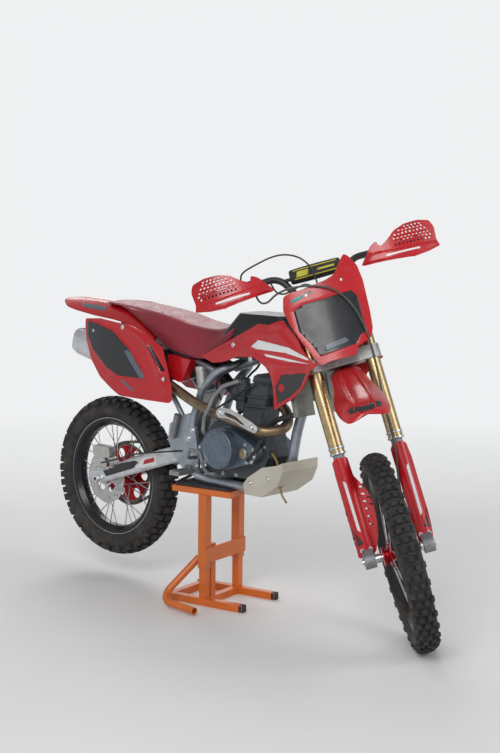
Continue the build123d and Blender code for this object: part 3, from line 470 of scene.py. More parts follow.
def rounded(outline, radius, steps=4):
    """The outline with each corner turned into a short curve."""
    points = []
    for index, corner in enumerate(outline):
        corner = Vector(corner)
        before = Vector(outline[index - 1]) - corner
        after = Vector(outline[(index + 1) % len(outline)]) - corner
        reach = min(radius, 0.45 * before.length, 0.45 * after.length)
        one = corner + before.normalized() * reach
        two = corner + after.normalized() * reach
        for step in range(steps + 1):
            share = step / steps
            points.append(
                (1 - share) ** 2 * one + 2 * share * (1 - share) * corner + share**2 * two
            )
    return points


def diced(outline, holes, pitch):
    """A flat shape that fills an outline around its holes, cut into a grid."""
    curve = bpy.data.curves.new("outline", "CURVE")
    curve.dimensions = "2D"
    curve.fill_mode = "BOTH"
    for loop in (outline, *holes):
        spline = curve.splines.new("POLY")
        spline.points.add(len(loop) - 1)
        for point, place in zip(spline.points, loop):
            point.co = (place[0], place[1], 0, 1)
        spline.use_cyclic_u = True
    holder = bpy.data.objects.new("outline", curve)
    flat = bpy.data.meshes.new_from_object(holder)
    shape = bmesh.new()
    shape.from_mesh(flat)
    bpy.data.objects.remove(holder)
    bmesh.ops.remove_doubles(shape, verts=shape.verts, dist=0.01)
    for axis in (0, 1):
        places = [point[axis] for point in outline]
        count = int((max(places) - min(places)) / pitch)
        for index in range(1, count + 1):
            cut = [0, 0, 0]
            cut[axis] = min(places) + index * pitch
            across = [0, 0, 0]
            across[axis] = 1
            bmesh.ops.bisect_plane(
                shape, geom=shape.verts[:] + shape.edges[:] + shape.faces[:], dist=0.001,
                plane_co=cut, plane_no=across,
            )
    return shape


def film(name, shape, outward, wall, body, look, edge=0.0):
    """Turns a shape of one layer into a sheet that is wall thick on its inner side."""
    bmesh.ops.recalc_face_normals(shape, faces=shape.faces)
    if sum(face.normal.dot(outward) * face.calc_area() for face in shape.faces) < 0:
        bmesh.ops.reverse_faces(shape, faces=shape.faces)
    piece = new_piece(name, mesh_of(name, shape), body, look)
    thick = piece.modifiers.new("thick", "SOLIDIFY")
    thick.thickness = wall
    thick.offset = -1
    if edge:
        rim = piece.modifiers.new("rim", "BEVEL")
        rim.width = edge
        rim.segments = 2
        rim.angle_limit = radians(50)
        rim.harden_normals = True
    return piece


def depth_inside(point, outline):
    """How far a point lies inside an outline, or minus its distance outside it."""
    x, y = point
    nearest, inside = 1e9, False
    for (x1, y1), (x2, y2) in zip(outline, outline[1:] + outline[:1]):
        run_x, run_y = x2 - x1, y2 - y1
        share = ((x - x1) * run_x + (y - y1) * run_y) / (run_x**2 + run_y**2)
        share = min(1.0, max(0.0, share))
        nearest = min(nearest, hypot(x - x1 - share * run_x, y - y1 - share * run_y))
        if (y1 > y) != (y2 > y) and x < x1 + (y - y1) * run_x / run_y:
            inside = not inside
    return nearest if inside else -nearest


class Sheet:
    """The outer face of a bowed sheet: bow is its arc, as three pairs of place along it and how
    far out it lies. Reliefs are (outline, height, blend): stretches that stand out or lie under
    it. put turns (along, out, up) in millimetres into a place on the bike."""

    def __init__(self, bow, put, reliefs=()):
        self.put, self.reliefs = put, reliefs
        self.centre = centre_of(*bow)
        self.radius = (Vector(bow[1]) - self.centre).length
        self.sign = 1 if bow[1][1] > self.centre.y else -1

    def at(self, along, up, lift=0.0):
        reach = sqrt(self.radius**2 - (along - self.centre.x) ** 2)
        spot = Vector((along, self.centre.y + self.sign * reach))
        way = (spot - self.centre) * self.sign / self.radius
        for outline, height, blend in self.reliefs:
            share = min(1.0, max(0.0, depth_inside((along, up), outline) / blend))
            lift += height * share * share * (3 - 2 * share)
        spot += way * lift
        return self.put(spot.x, spot.y, up)


def pressed(name, sheet, outline, holes, wall, body, look=red_plastic, pitch=7.0,
            corner=8.0):
    """A moulded sheet, cut to an outline with eased corners and rounded edges; its wall is in
    millimetres."""
    shape = diced(rounded(outline, corner), [rounded(hole, corner / 2) for hole in holes], pitch)
    middle = sum((Vector(point) for point in outline), Vector((0, 0))) / len(outline)
    outward = sheet.at(*middle, 1.0) - sheet.at(*middle, 0.0)
    for vertex in shape.verts:
        vertex.co = sheet.at(vertex.co.x, vertex.co.y)
    return film(name, shape, outward, wall / 1000, body, look, edge=0.0011)


def tree_of(piece):
    return BVHTree.FromObject(piece, bpy.context.evaluated_depsgraph_get())


# How high a film lies over a piece, and over another film, in metres
ON_PIECE, ON_FILM = 0.0004, 0.0009
# Where the rays of a label set out, in millimetres from the bike's middle
OUTSIDE = 260


def labels(stem, tree, put, way, body, rows, end="", corner=3.0, pitch=8.0):
    """Thin films on what rays along way meet. Put places the points of their outlines. Rows are
    (part, outline, look), and ON_FILM where a film lies on another."""
    for part, outline, look, *lifts in rows:
        lift = lifts[0] if lifts else ON_PIECE
        shape = diced(rounded(outline, corner), (), pitch)
        missed = []
        for vertex in shape.verts:
            hit, normal, _, _ = tree.ray_cast(put(vertex.co.x, vertex.co.y), way)
            if hit is None:
                missed.append(vertex)
                continue
            vertex.co = hit + normal * (lift if normal.dot(way) < 0 else -lift)
        bmesh.ops.delete(shape, geom=missed, context="VERTS")
        film(f"{stem}_{part}{end}", shape, -way, 0.0003, body, look)


def skin(rows):
    """A closed mesh over rows of points that each run round the piece."""
    shape = bmesh.new()
    closed(shape, rows)
    bmesh.ops.recalc_face_normals(shape, faces=shape.faces)
    return mesh_of("skin", shape)


def smooth(piece, levels=2):
    modifier = piece.modifiers.new("smooth", "SUBSURF")
    modifier.levels = levels
    modifier.render_levels = levels


def eased(stations, count):
    """Stations on a smooth curve through the given ones, evenly spaced."""
    slopes = []
    for index in range(len(stations)):
        one, two = stations[max(index - 1, 0)], stations[min(index + 1, len(stations) - 1)]
        slopes.append([(b - a) / (two[0] - one[0]) for a, b in zip(one, two)])
    rows = []
    for step in range(count):
        x = stations[0][0] + (stations[-1][0] - stations[0][0]) * step / (count - 1)
        index = max(i for i in range(len(stations) - 1) if stations[i][0] <= x + 1e-9)
        one, two = stations[index], stations[index + 1]
        run = two[0] - one[0]
        t = (x - one[0]) / run
        rows.append([
            (2 * t**3 - 3 * t**2 + 1) * a + (t**3 - 2 * t**2 + t) * run * m
            + (3 * t**2 - 2 * t**3) * b + (t**3 - t**2) * run * n
            for a, b, m, n in zip(one, two, slopes[index], slopes[index + 1])
        ])
    return rows


# Tyres: a carcass with rows of knobs, each with a chamfered top
def arc(one, middle, two, count):
    """Points on the circle through three points, from the first to the last."""
    centre = centre_of(one, middle, two)
    start, end = Vector(one) - centre, Vector(two) - centre
    sweep = start.angle_signed(end)
    return [
        centre + Matrix.Rotation(-sweep * step / count, 2) @ start for step in range(count + 1)
    ]


def make_tyre(name, node, body, centre, axle, radius, width, bead, rim_width, height, drop, knobs,
              pitches, look):
    """Height is a knob's, drop is the crown's from its middle to its edge, and knobs are rows:
    place along the pitch, place across, width, length; all in millimetres."""
    forward = axle.cross(Vector((0, 0, 1))).normalized()
    upward = forward.cross(axle)
    inner, above = rim_width / 2 - 4.3, bead + 13
    crown, half = radius - height, 0.4 * width
    bend = (drop**2 + half**2) / (2 * drop)
    widest = (bead + crown) / 2
    profile = [Vector((-inner, bead + 0.3)), Vector((inner, bead + 0.3))]
    profile += arc((inner, above), (width / 2, widest), (half, crown - drop), 9)
    profile += arc((half, crown - drop), (0, crown), (-half, crown - drop), 10)[1:]
    profile += arc((-half, crown - drop), (-width / 2, widest), (-inner, above), 9)[1:]
    shape = bmesh.new()
    rings = []
    turns = 120
    for step in range(turns):
        angle = 2 * pi * step / turns
        outward = forward * cos(angle) + upward * sin(angle)
        rings.append([
            shape.verts.new(centre + (axle * point.x + outward * point.y) / 1000)
            for point in profile
        ])
    for one, two in zip(rings, rings[1:] + rings[:1]):
        for face in bridged(shape, one, two):
            face.smooth = True
    for shift, share, wide, long in knobs:
        lean = share * asin(half / bend)
        for index in range(pitches):
            angle = 2 * pi * (index + shift) / pitches
            outward = forward * cos(angle) + upward * sin(angle)
            along = upward * cos(angle) - forward * sin(angle)
            for hand in (-1, 1) if share else (1,):
                normal = outward * cos(lean) + axle * hand * sin(lean)
                across = axle * cos(lean) - outward * hand * sin(lean)
                base = centre * 1000 + outward * (crown - bend) + normal * bend
                closed(shape, [
                    [
                        (
                            base + normal * rise + across * x * (wide + spread) / 2
                            + along * y * (long + spread) / 2
                        ) / 1000
                        for x, y in ((-1, -1), (1, -1), (1, 1), (-1, 1))
                    ] for rise, spread in ((-3, 3.0), (height - 1.6, 0.6), (height, -1.8))
                ])
    bmesh.ops.recalc_face_normals(shape, faces=shape.faces)
    piece = new_piece(name, mesh_of(name, shape, soft=False), body, look)
    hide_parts(node)


make_tyre(
    "front_knobby", "front_tyre", FRONT_WHEEL, front_centre, steer_left, 316, 74, 241, 46, 10, 14,
    ((0, 0, 15, 16), (0, 0.62, 13, 16), (0.5, 0.3, 14, 16), (0.5, 0.92, 13, 18)), 34, front_rubber,
)
make_tyre(
    "rear_knobby", "rear_tyre", REAR_WHEEL, rear_centre, cross_axis, 289, 92, 202, 58, 13, 18,
    ((0, 0, 20, 20), (0, 0.58, 17, 20), (0.5, 0.28, 18, 20), (0.5, 0.86, 16, 22)), 29, rear_rubber,
)


# Number plate, shrouds and side panels
SIDES = ((-1, "_right"), (1, "_left"))


def on_side(hand):
    return lambda x, y, z: metres(x, hand * y, z)


def beside(hand):
    """Where the rays set out that look straight across the bike from one side."""
    return lambda x, z: metres(x, hand * OUTSIDE, z)


plate_outline = [
    (-129, 194), (-105, 200), (-73, 198), (-33, 203), (10, 207), (42, 218), (69, 253), (88, 274),
    (101, 264), (120, 229), (125, 178), (119, 81), (112, 24), (97, -4), (52, -18), (37, -44),
    (-45, -42), (-73, -47), (-84, -31), (-116, 49), (-132, 103), (-141, 151),
]
plate_field = [
    (-114, 144), (-85, 155), (-8, 156), (12, 157), (84, 160), (97, 136), (94, 62), (95, 19),
    (73, 12), (50, -14), (-72, -22), (-90, 26), (-115, 75),
]

plate_sheet = Sheet(
    ((-145, 106), (0, 130), (145, 106)), lambda left, out, up: steered(out, left, up),
    ((plate_field, -1.8, 5),),
)
plate_holes = (circle(-60, 178, 5), circle(60, 196, 5))
plate = pressed("plate_blank", plate_sheet, plate_outline, plate_holes, 4, FRONT)
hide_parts("number_plate")

shroud_outline = [
    (3, 850), (122, 907), (275, 979), (323, 977), (356, 991), (389, 996), (417, 973), (440, 958),
    (462, 938), (476, 916), (500, 897), (520, 884), (548, 880), (556, 873), (520, 852), (485, 792),
    (440, 755), (352, 707), (345, 780), (330, 820), (306, 843), (272, 859), (242, 868), (173, 863),
    (107, 840), (56, 832),
]
shroud_corner = [(378, 828), (510, 848), (476, 792), (436, 762), (360, 720), (352, 782)]
shroud_crest = [
    (40, 858), (150, 908), (275, 962), (380, 978), (430, 940), (500, 880), (420, 905), (300, 915),
    (200, 890), (110, 862),
]
shroud_reliefs = (
    (shroud_corner, -3.0, 5), (shroud_crest, 5.0, 22),
    ([(150, 905), (275, 979), (389, 996), (417, 973), (330, 955), (250, 930)], 3.0, 10),
    ([(225, 868), (330, 850), (345, 780), (352, 707), (366, 716), (362, 790), (372, 835), (520, 856),
      (520, 868), (380, 862), (250, 884)], 3.5, 8),
)
panel_outline = [
    (-515, 945), (-517, 920), (-510, 868), (-482, 802), (-435, 746), (-375, 709), (-336, 689),
    (-216, 685), (-117, 682), (-106, 694), (-108, 734), (-127, 811), (-146, 871), (-212, 910),
    (-283, 936), (-351, 942), (-430, 951),
]
panel_field = [
    (-510, 945), (-445, 939), (-366, 920), (-283, 860), (-226, 792), (-207, 749), (-346, 751),
    (-405, 777), (-480, 834), (-510, 885),
]
panel_reliefs = (
    (panel_field, 1.6, 5),
    ([(-345, 944), (-215, 912), (-146, 872), (-124, 800), (-106, 700), (-140, 690), (-178, 770),
      (-215, 850), (-270, 900)], 7.0, 26),
    ([(-214, 880), (-196, 886), (-128, 792), (-146, 778)], -9.0, 9),
    (circle(-140, 762, 15), -6.0, 8),
)
panel_slot = [(-206, 868), (-196, 876), (-138, 792), (-146, 786)]
for hand, end in SIDES:
    sheet = Sheet(((0, 108), (300, 127), (580, 170)), on_side(hand), shroud_reliefs)
    shroud = pressed("shroud" + end, sheet, shroud_outline, (), 5, ROOT)
    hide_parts("shrouds")
    inward = Vector((0, -hand, 0))
    labels("shroud", tree_of(shroud), beside(hand), inward, ROOT, (
        ("corner", [(382, 824), (502, 842), (472, 794), (434, 765), (366, 729), (358, 784)], black_film),
        ("sweep", [(238, 902), (276, 926), (420, 914), (548, 878), (400, 896), (262, 896)], white_film),
        ("line", [(300, 884), (420, 878), (520, 872), (420, 870), (310, 876)], white_film),
    ), end)
    sheet = Sheet(((-530, 160), (-300, 164), (-90, 134)), on_side(hand), panel_reliefs)
    panel_holes = (panel_slot, circle(-318, 928, 6))
    panel = pressed("side_panel" + end, sheet, panel_outline, panel_holes, 4, ROOT)
    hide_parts("side_panels")
    labels("panel", tree_of(panel), beside(hand), inward, ROOT, (
        ("field", [
            (-503, 938), (-447, 931), (-371, 913), (-290, 855), (-234, 789), (-217, 757), (-344, 759),
            (-400, 784), (-472, 839), (-503, 887),
        ], black_film),
        ("slash", [(-292, 851), (-276, 838), (-218, 759), (-240, 758), (-312, 846)], slate_film, ON_FILM),
        ("tick", [(-330, 742), (-322, 748), (-268, 714), (-276, 708)], slate_film),
    ), end)
    # The side cover of the air box, below the seat and ahead of the panel
    sheet = Sheet(((-170, 101), (-105, 103), (-40, 98)), on_side(hand))
    pressed("air_box_cover" + end, sheet, [
        (-164, 843), (-55, 832), (-62, 818), (-93, 757), (-104, 751), (-128, 757), (-150, 768),
        (-163, 792),
    ], (), 38, ROOT, corner=6)

back = -steer_ahead
labels("plate", tree_of(plate), lambda left, up: steered(OUTSIDE, left, up), back, FRONT, (
    ("field", [(x * 0.965, 68 + (y - 68) * 0.955) for x, y in plate_field], black_film),
    ("strip", [(-112, 166), (-110, 176), (-44, 188), (-42, 177)], teal_film),
    ("accent", [(-52, -8), (-48, 10), (22, 18), (30, 4)], slate_film, ON_FILM),
))


# Fenders: a half section of points, mirrored, with a lip along its edge
def fender_rows(stations, place):
    """Stations are rows: ahead, top, half width, drop of the edge, height of the ridge."""
    wall = 4
    rows = []
    for ahead_mm, top, half, drop, ridge in stations:
        base = top - ridge
        outer = [
            (0, base + 0.4 * ridge), (0.18 * half, base + 0.3 * ridge),
            (0.32 * half, base), (0.385 * half, base + ridge), (0.465 * half, base + ridge),
            (0.53 * half, base - 0.02 * drop), (0.74 * half, base - 0.3 * drop),
            (0.92 * half, base - 0.74 * drop), (half, base - drop), (half, base - drop - 3),
        ]
        inner = [
            (half - wall * 0.8, base - drop - 3), (half - wall, base - drop),
            (0.74 * half, base - 0.3 * drop - wall), (0.45 * half, base - wall), (0, base - wall),
        ]
        ring = outer + inner
        ring += [(-x, z) for x, z in inner[-2::-1]] + [(-x, z) for x, z in outer[:0:-1]]
        rows.append([place(ahead_mm, x, z) for x, z in ring])
    return rows


front_stations = eased((
    (-62, -64, 46, 12, 0.1), (-10, -55, 50, 14, 0.1), (60, -68, 52, 18, 2), (110, -100, 60, 24, 4),
    (160, -135, 74, 30, 4), (215, -165, 80, 34, 4), (290, -205, 76, 32, 3), (325, -231, 66, 25, 2),
), 30)
front_stations += [
    [332, -236, 62, 23, 1.8], [338, -241, 55, 20, 1.4], [342.5, -244.5, 44, 15, 1],
    [345, -247, 26, 9, 0.6],
]
fender = new_piece(
    "front_fender_shell", skin(fender_rows(front_stations, steered)), FRONT, red_plastic,
)
smooth(fender, 2)
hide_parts("front_fender")
rear_stations = [[-773, 996, 20, 2, 0.1], [-770, 997, 34, 4, 0.1], [-764, 998, 44, 7, 0.1]]
rear_stations += eased((
    (-752, 999, 54, 11, 0.3), (-700, 1001, 84, 26, 2), (-560, 997, 94, 40, 3), (-400, 984, 92, 44, 3),
    (-320, 952, 88, 40, 2), (-250, 912, 84, 36, 1),
), 26)
rear_fender = new_piece(
    "rear_fender_shell", skin(fender_rows(rear_stations, metres)), ROOT, red_plastic,
)
smooth(rear_fender, 2)
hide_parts("rear_fender")
labels("fender", tree_of(fender), lambda left, ahead_mm: steered(ahead_mm, left, 0), -steer_up, FRONT, (
    ("lens", [
        (-54, 296), (-48, 322), (-24, 335), (24, 335), (48, 322), (54, 296), (30, 306), (0, 310),
        (-30, 306),
    ], black_film),
))
tree = tree_of(rear_fender)
for hand, end in SIDES:
    labels("fender", tree, lambda x, y: metres(x, hand * y, 1100), Vector((0, 0, -1)), ROOT, (
        ("patch", [(-640, 66), (-520, 66), (-500, 80), (-625, 80)], slate_film),
    ), end)


# Hand guards: a drilled upper part over a raised lower band
hand_guard_outline = [
    (143, 238), (183, 287), (205, 299), (212, 276), (240, 292), (268, 315), (305, 328), (350, 331),
    (390, 323), (400, 300), (396, 255), (404, 236), (360, 224), (310, 218), (240, 226), (150, 234),
]
hand_guard_band = [
    (150, 236), (240, 229), (310, 221), (360, 227), (404, 238), (394, 254), (310, 254), (240, 258),
    (176, 266),
]
# Height of each row of drillings, where it starts and how many it has
hand_guard_drillings = (
    (268, 262, 10), (279, 268, 10), (290, 262, 10), (301, 268, 9), (312, 284, 7), (321, 305, 5),
)
for hand, end in SIDES:
    put = lambda left, out, up: steered(out, hand * left, up)
    sheet = Sheet(((130, 32), (285, 60), (410, 22)), put, ((hand_guard_band, 5.0, 6),))
    drillings = [
        circle(first + 12.6 * index, up, 3.6) for up, first, count in hand_guard_drillings
        for index in range(count)
    ]
    guard = pressed("hand_guard" + end, sheet, hand_guard_outline, drillings, 3.5, FRONT, pitch=9)
    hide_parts("hand_guards")
    labels("hand_guard", tree_of(guard), lambda left, up: put(left, 200, up), back, FRONT, (
        ("stripe", [(222, 240), (222, 246), (335, 244), (335, 238)], white_film),
    ), end)

# Fork guards: a skin round each leg, with a slotted wing on the right one. Their points are
# millimetres left of the steering axis and above the axle.
right_guard = [
    (-122, 320), (-111, 330), (-70, 328), (-69, 300), (-68, 268), (-53, 241), (-36, 203),
    (-32, 158), (-36, 112), (-45, 68), (-57, 40), (-66, 20), (-123, 14), (-127, 76), (-128, 150),
]
left_guard = [
    (66, 314), (76, 328), (103, 330), (119, 322), (124, 279), (124, 198), (125, 101), (122, 47),
    (116, 17), (65, 18), (64, 53), (62, 135), (62, 219), (62, 279),
]
guard_slots = (
    (-54, 228), (-54, 205), (-54, 181), (-54, 157), (-54, 133), (-55, 108), (-40, 190), (-38, 168),
)
leg_side, leg_ahead, leg_skin = 94, 19.4, 28.3


def round_leg(side_mm):
    """Turns (across, up above the axle) into a place on the skin round a leg. What reaches past
    the leg's left edge goes on nearly flat."""
    bound = 0.97 * leg_skin

    def put(across_mm, up):
        off = max(-bound, across_mm - side_mm)
        near = min(bound, off)
        depth = sqrt(leg_skin**2 - near**2) + 0.08 * (off - near)
        return steered(leg_ahead + depth, side_mm + off, up - axle_drop)
    return put


for side_mm, outline, slots, end in (
    (-leg_side, right_guard, guard_slots, "_right"), (leg_side, left_guard, (), "_left"),
):
    put = round_leg(side_mm)
    slits = [
        [(x - 7, y + 1), (x - 5, y + 4), (x + 6, y - 1), (x + 7, y - 4), (x + 5, y - 5), (x - 6, y - 1)]
        for x, y in slots
    ]
    shape = diced(rounded(outline, 8), [rounded(slit, 1, 2) for slit in slits], 5)
    for vertex in shape.verts:
        vertex.co = put(vertex.co.x, vertex.co.y)
    guard = film(
        "fork_guard" + end, shape, steer_ahead, 0.003, FRONT, red_plastic, 0.001,
    )
    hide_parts("fork_guards")
    hand = 1 if side_mm > 0 else -1
    labels("guard", tree_of(guard), lambda x, y: steered(160, x, y - axle_drop), back, FRONT, [
        (part, [(hand * x, y) for x, y in outline], look) for part, outline, look in (
            ("corner", ((120, 52), (121, 112), (96, 56), (112, 50)), black_film),
            ("stripe", ((95, 90), (104, 100), (106, 258), (97, 250)), white_film),
        )
    ], end)


# Hoses and cables; their radii are in millimetres and their places in metres
def hose(name, body, radius, look, places):
    new_piece(name, tube(name, places, radius / 1000, 4, 6), body, look)


for name, radius, look, route in (
    ("brake_line", 3.2, hose_olive, (
        (16, -205, 270), (16, -205, 232), (36, -196, 206), (64, -176, 198), (100, -151, 209),
        (127, -117, 212), (134, -70, 209), (141, -10, 192), (140, 31, 167), (138, 61, 126),
        (134, 79, 78), (130, 87, 34), (126, 90, 2), (104, 93, -34), (74, 94, -80), (57, 91, -140),
        (55, 83, -241), (55, 82, -345), (48, 66, -416), (30, 61, -466), (0, 61, -530), (-32, 62, -564),
    )),
    ("clutch_cable", 2.8, hose_black, (
        (-20, -236, 288), (6, -238, 306), (24, -226, 322), (38, -182, 331), (44, -129, 341),
        (46, -87, 339), (48, -49, 322), (50, -26, 298), (52, -11, 266), (48, -8, 210),
        (38, -6, 176), (38, -6, 148),
    )),
    ("throttle_cable", 2.8, hose_black, (
        (-2, -150, 279), (22, -146, 250), (36, -140, 226), (42, -120, 214), (48, -99, 217),
        (56, -64, 224), (76, -44, 222), (60, -20, 205), (38, 6, 176), (34, 8, 148),
    )),
):
    hose(name, FRONT, radius, look, [steered(*point) for point in route])
pump_route = (
    (204, -92, 520), (226, -98, 532), (256, -88, 590), (290, -78, 650), (340, -84, 678),
    (404, -84, 694),
)
head_route = ((236, 20, 800), (280, 44, 822), (340, 74, 840), (404, 84, 850))
hose("water_hose_pump", ROOT, 9, hose_black, [metres(*point) for point in pump_route])
for hand, end in SIDES:
    places = [metres(x, hand * y, z) for x, y, z in head_route]
    hose("water_hose_head" + end, ROOT, 9, hose_black, places)

# Seat: a foam pad under stretched vinyl. Place, top, underside, half width on top and below
SEAT_STATIONS = (
    (-512, 1004, 994.3, 60, 66), (-400, 1000, 984.3, 72, 86), (-250, 985, 912.3, 76, 100),
    (-174, 973, 868, 76, 106), (-100, 957, 850, 76, 106), (0, 946, 838, 74, 102),
    (60, 948, 864, 70, 100), (140, 976, 930, 60, 96),
)
seat_rows = []
for x, top, low, upper, lower in eased(SEAT_STATIONS, 40):
    middle = low + (top - low) * 0.4
    half = [
        (0.0, top), (0.5 * upper, top - 1.2), (0.86 * upper, top - 3.5), (0.97 * upper, top - 5.5),
        (upper + 0.5, top - 8.5), (upper + 2.5, top - 9.5), (upper + 6, top - 13),
        (lower - 3, middle + 6), (lower, middle - 6), (lower - 1, low + 4), (lower - 6, low),
        (0.5 * lower, low), (0.0, low),
    ]
    ring = [metres(x, y, z) for y, z in half] + [metres(x, -y, z) for y, z in half[-2:0:-1]]
    seat_rows.append(ring)
seat_cover = new_piece("seat_cover", skin(seat_rows), ROOT, seat_red)
smooth(seat_cover, 2)
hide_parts("seat")

# Bar pad: a foam roll in a stitched sleeve, with plain bands and lines
pad_rows = []
for left, share in (
    (-84, 0.8), (-82, 0.9), (-77, 0.97), (-60, 1.0), (-30, 1.03), (0, 1.04), (30, 1.03), (60, 1.0),
    (77, 0.97), (82, 0.9), (84, 0.8),
):
    ring = []
    for step in range(24):
        angle = 2 * pi * step / 24
        flat_x = abs(cos(angle)) ** 0.7 * (1 if cos(angle) > 0 else -1)
        flat_z = abs(sin(angle)) ** 0.7 * (1 if sin(angle) > 0 else -1)
        ring.append(steered(6 + 24 * share * flat_x, left, 267 + 24 * share * flat_z))
    pad_rows.append(ring)
pad = new_piece("bar_pad_sleeve", skin(pad_rows), FRONT, pad_cloth)
smooth(pad, 1)
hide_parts("bar_pad")
labels("pad", tree_of(pad), lambda left, up: steered(120, left, up), back, FRONT, (
    ("low_line", [(-72, 252), (-72, 255), (72, 255), (72, 252)], yellow_film),
    ("top_line", [(-72, 280), (-72, 283), (72, 283), (72, 280)], yellow_film),
    ("block", [(-66, 258), (-60, 276), (-22, 276), (-28, 258)], yellow_film),
    ("bar", [(4, 264), (6, 270), (62, 270), (60, 264)], yellow_film),
), corner=1, pitch=10)


# Bolts and rings, joined into one piece for each body and look
def turned_piece(name, body, look, parts):
    """Parts are (place, axis, profile, corners): profile rows are (radius, height)."""
    shape = bmesh.new()
    for place, axis, profile, corners in parts:
        axis = Vector(axis).normalized()
        one = axis.orthogonal().normalized()
        two = axis.cross(one)
        closed(shape, [
            [
                place + (axis * height + (one * x + two * y) * radius) / 1000
                for x, y in circle(0, 0, 1, corners)
            ] for radius, height in profile
        ])
    bmesh.ops.recalc_face_normals(shape, faces=shape.faces)
    return new_piece(name, mesh_of(name, shape, soft=False), body, look)


def bolt(place, axis, radius=6.0, height=4.0):
    """A button head with a socket, on a washer."""
    profile = (
        (radius * 1.45, -1), (radius * 1.45, 1), (radius, 1), (radius, height * 0.7),
        (radius * 0.8, height), (radius * 0.5, height), (radius * 0.45, height * 0.35),
        (0.01, height * 0.35),
    )
    return place, axis, profile, 18


def collar(place, axis, radius, height):
    profile = ((radius - 1, 0), (radius, 1), (radius, height - 1), (radius - 1, height))
    return place, axis, profile, 40


root_bolts, steered_rings = [], []
for hand in (-1, 1):
    for x, y, z in (
        (157, 117, 900), (239, 124, 861), (-140, 146, 762), (-318, 167, 928), (-470, 164, 905),
    ):
        root_bolts.append(bolt(metres(x, hand * y, z), (0, hand, 0)))
for side_mm in (-leg_side, leg_side):
    for up, radius, height in ((-318, 26.5, 7), (-300, 26.5, 7), (152, 20, 4), (156, 8, 6)):
        steered_rings.append(collar(steered(leg_ahead, side_mm, up), steer_up, radius, height))
    for across_mm in (-12, 12):
        steered_rings.append(bolt(
            round_leg(side_mm)(side_mm + across_mm, 34), steer_ahead, 5.5, 4,
        ))
turned_piece("frame_bolts", ROOT, polished, root_bolts)
turned_piece("fork_rings", FRONT, polished, steered_rings)

# Red boss in the dark corner of each shroud
boss_profile = ((13, 0), (13, 2), (11, 3.2), (7, 4.2), (3, 4.6), (0.01, 4.7))
turned_piece("shroud_bosses", ROOT, red_film, [
    (metres(384, hand * 133.5, 782), (0, hand, 0), boss_profile, 24) for hand in (-1, 1)
])


# Small parts of the engine and chassis
def landed(tree, x, z, hand):
    """Where a line across the bike first meets a piece, from one side."""
    return tree.ray_cast(metres(x, hand * 300, z), Vector((0, -hand, 0)))[0]


def dots(tree, hand, places, radius=4.5):
    """Bolts where the places (x, z) show on one side of a piece."""
    found = [landed(tree, x, z, hand) for x, z in places]
    return [bolt(place, (0, hand, 0), radius, 4) for place in found if place]


cover_tree, case_tree, backbone_tree, arm_tree, skid_tree = [
    tree_of(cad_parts[node])
    for node in ("engine_covers", "crankcase", "frame_backbone", "swingarm", "skid_plate")
]
guard_sheet = Sheet(((100, 150), (200, 159), (305, 149)), on_side(-1), (
    ([(118, 676), (132, 694), (186, 694), (232, 680), (280, 658), (298, 642), (288, 630), (252, 641),
      (212, 660), (172, 668), (128, 665)], 5.0, 9),
))
header_shield = pressed(
    "header_shield", guard_sheet, [
        (131, 696), (183, 696), (231, 682), (279, 661), (301, 646), (290, 627), (253, 637), (213, 656),
        (174, 665), (126, 662), (113, 677),
    ],
    ([(160, 684), (190, 682), (215, 675), (246, 657), (252, 650), (231, 651), (207, 663), (166, 671)],),
    3, ROOT, guard_silver, corner=9,
)
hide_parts("header_guard")
guard_tree = tree_of(header_shield)
small_bolts = []
for hand in (-1, 1):
    small_bolts += dots(cover_tree, hand, (
        (-10, 540), (-8, 508), (14, 494), (196, 573), (232, 560), (237, 538), (226, 519), (204, 516),
    ))
    small_bolts += dots(case_tree, hand, ((232, 600), (246, 566), (215, 462), (120, 458), (60, 456)))
    small_bolts += dots(backbone_tree, hand, ((-60, 590), (-78, 560), (-40, 470)), 7)
    small_bolts += dots(arm_tree, hand, ((-500, 370),), 6)
    small_bolts += dots(skid_tree, hand, ((290, 470), (210, 446)), 6)
small_bolts += dots(guard_tree, -1, ((136, 680), (276, 645)), 8)
turned_piece("engine_bolts", ROOT, polished, small_bolts)
rim_profile = (
    (67, -2), (67, 1.5), (65, 3.2), (61, 3.4), (58, 1.2), (50, 1.0), (46, 2.0), (24, 2.4), (0.01, 2.4),
)
turned_piece("cover_faces", ROOT, slate_cover, [
    (metres(104, -135, 552), (0, -1, 0), rim_profile, 64),
    (metres(128, 112, 552), (0, 1, 0), rim_profile, 64),
])
cap_profile = ((17, -2), (17, 5), (14, 7), (9, 7), (8, 3), (0.01, 3))
cap_place = landed(cover_tree, 190, 544, -1)
turned_piece("oil_cap", ROOT, caliper_gold, [(cap_place, (0, -1, 0), cap_profile, 24)])

# Carburettor with its bowl and top, and the shock's reservoir
barrel = ((24, 0), (31, 3), (31, 12), (28, 15), (28, 50), (31, 53), (31, 62), (24, 65))
bowl = ((20, 0), (25, 4), (27, 12), (27, 40), (30, 43), (30, 52))
top_cap = ((26, 0), (26, 18), (22, 22), (22, 34), (16, 40), (6, 40), (5, 52))
turned_piece("carburettor", ROOT, cast_dark, [
    (metres(66, 0, 726), (1, 0, -0.04), barrel, 32), (metres(98, 0, 664), (0, 0, 1), bowl, 32),
    (metres(98, 0, 738), (0, 0, 1), top_cap, 28),
])
can = (
    (12, 0), (19, 3), (20.5, 6), (20.5, 16), (19.5, 18), (19.5, 62), (20.5, 64), (20.5, 76), (17, 80),
    (8, 80),
)
turned_piece("shock_reservoir", ROOT, shock_silver, [
    (metres(-22, -72, 733), (-0.17, 0, 1), can, 36),
])


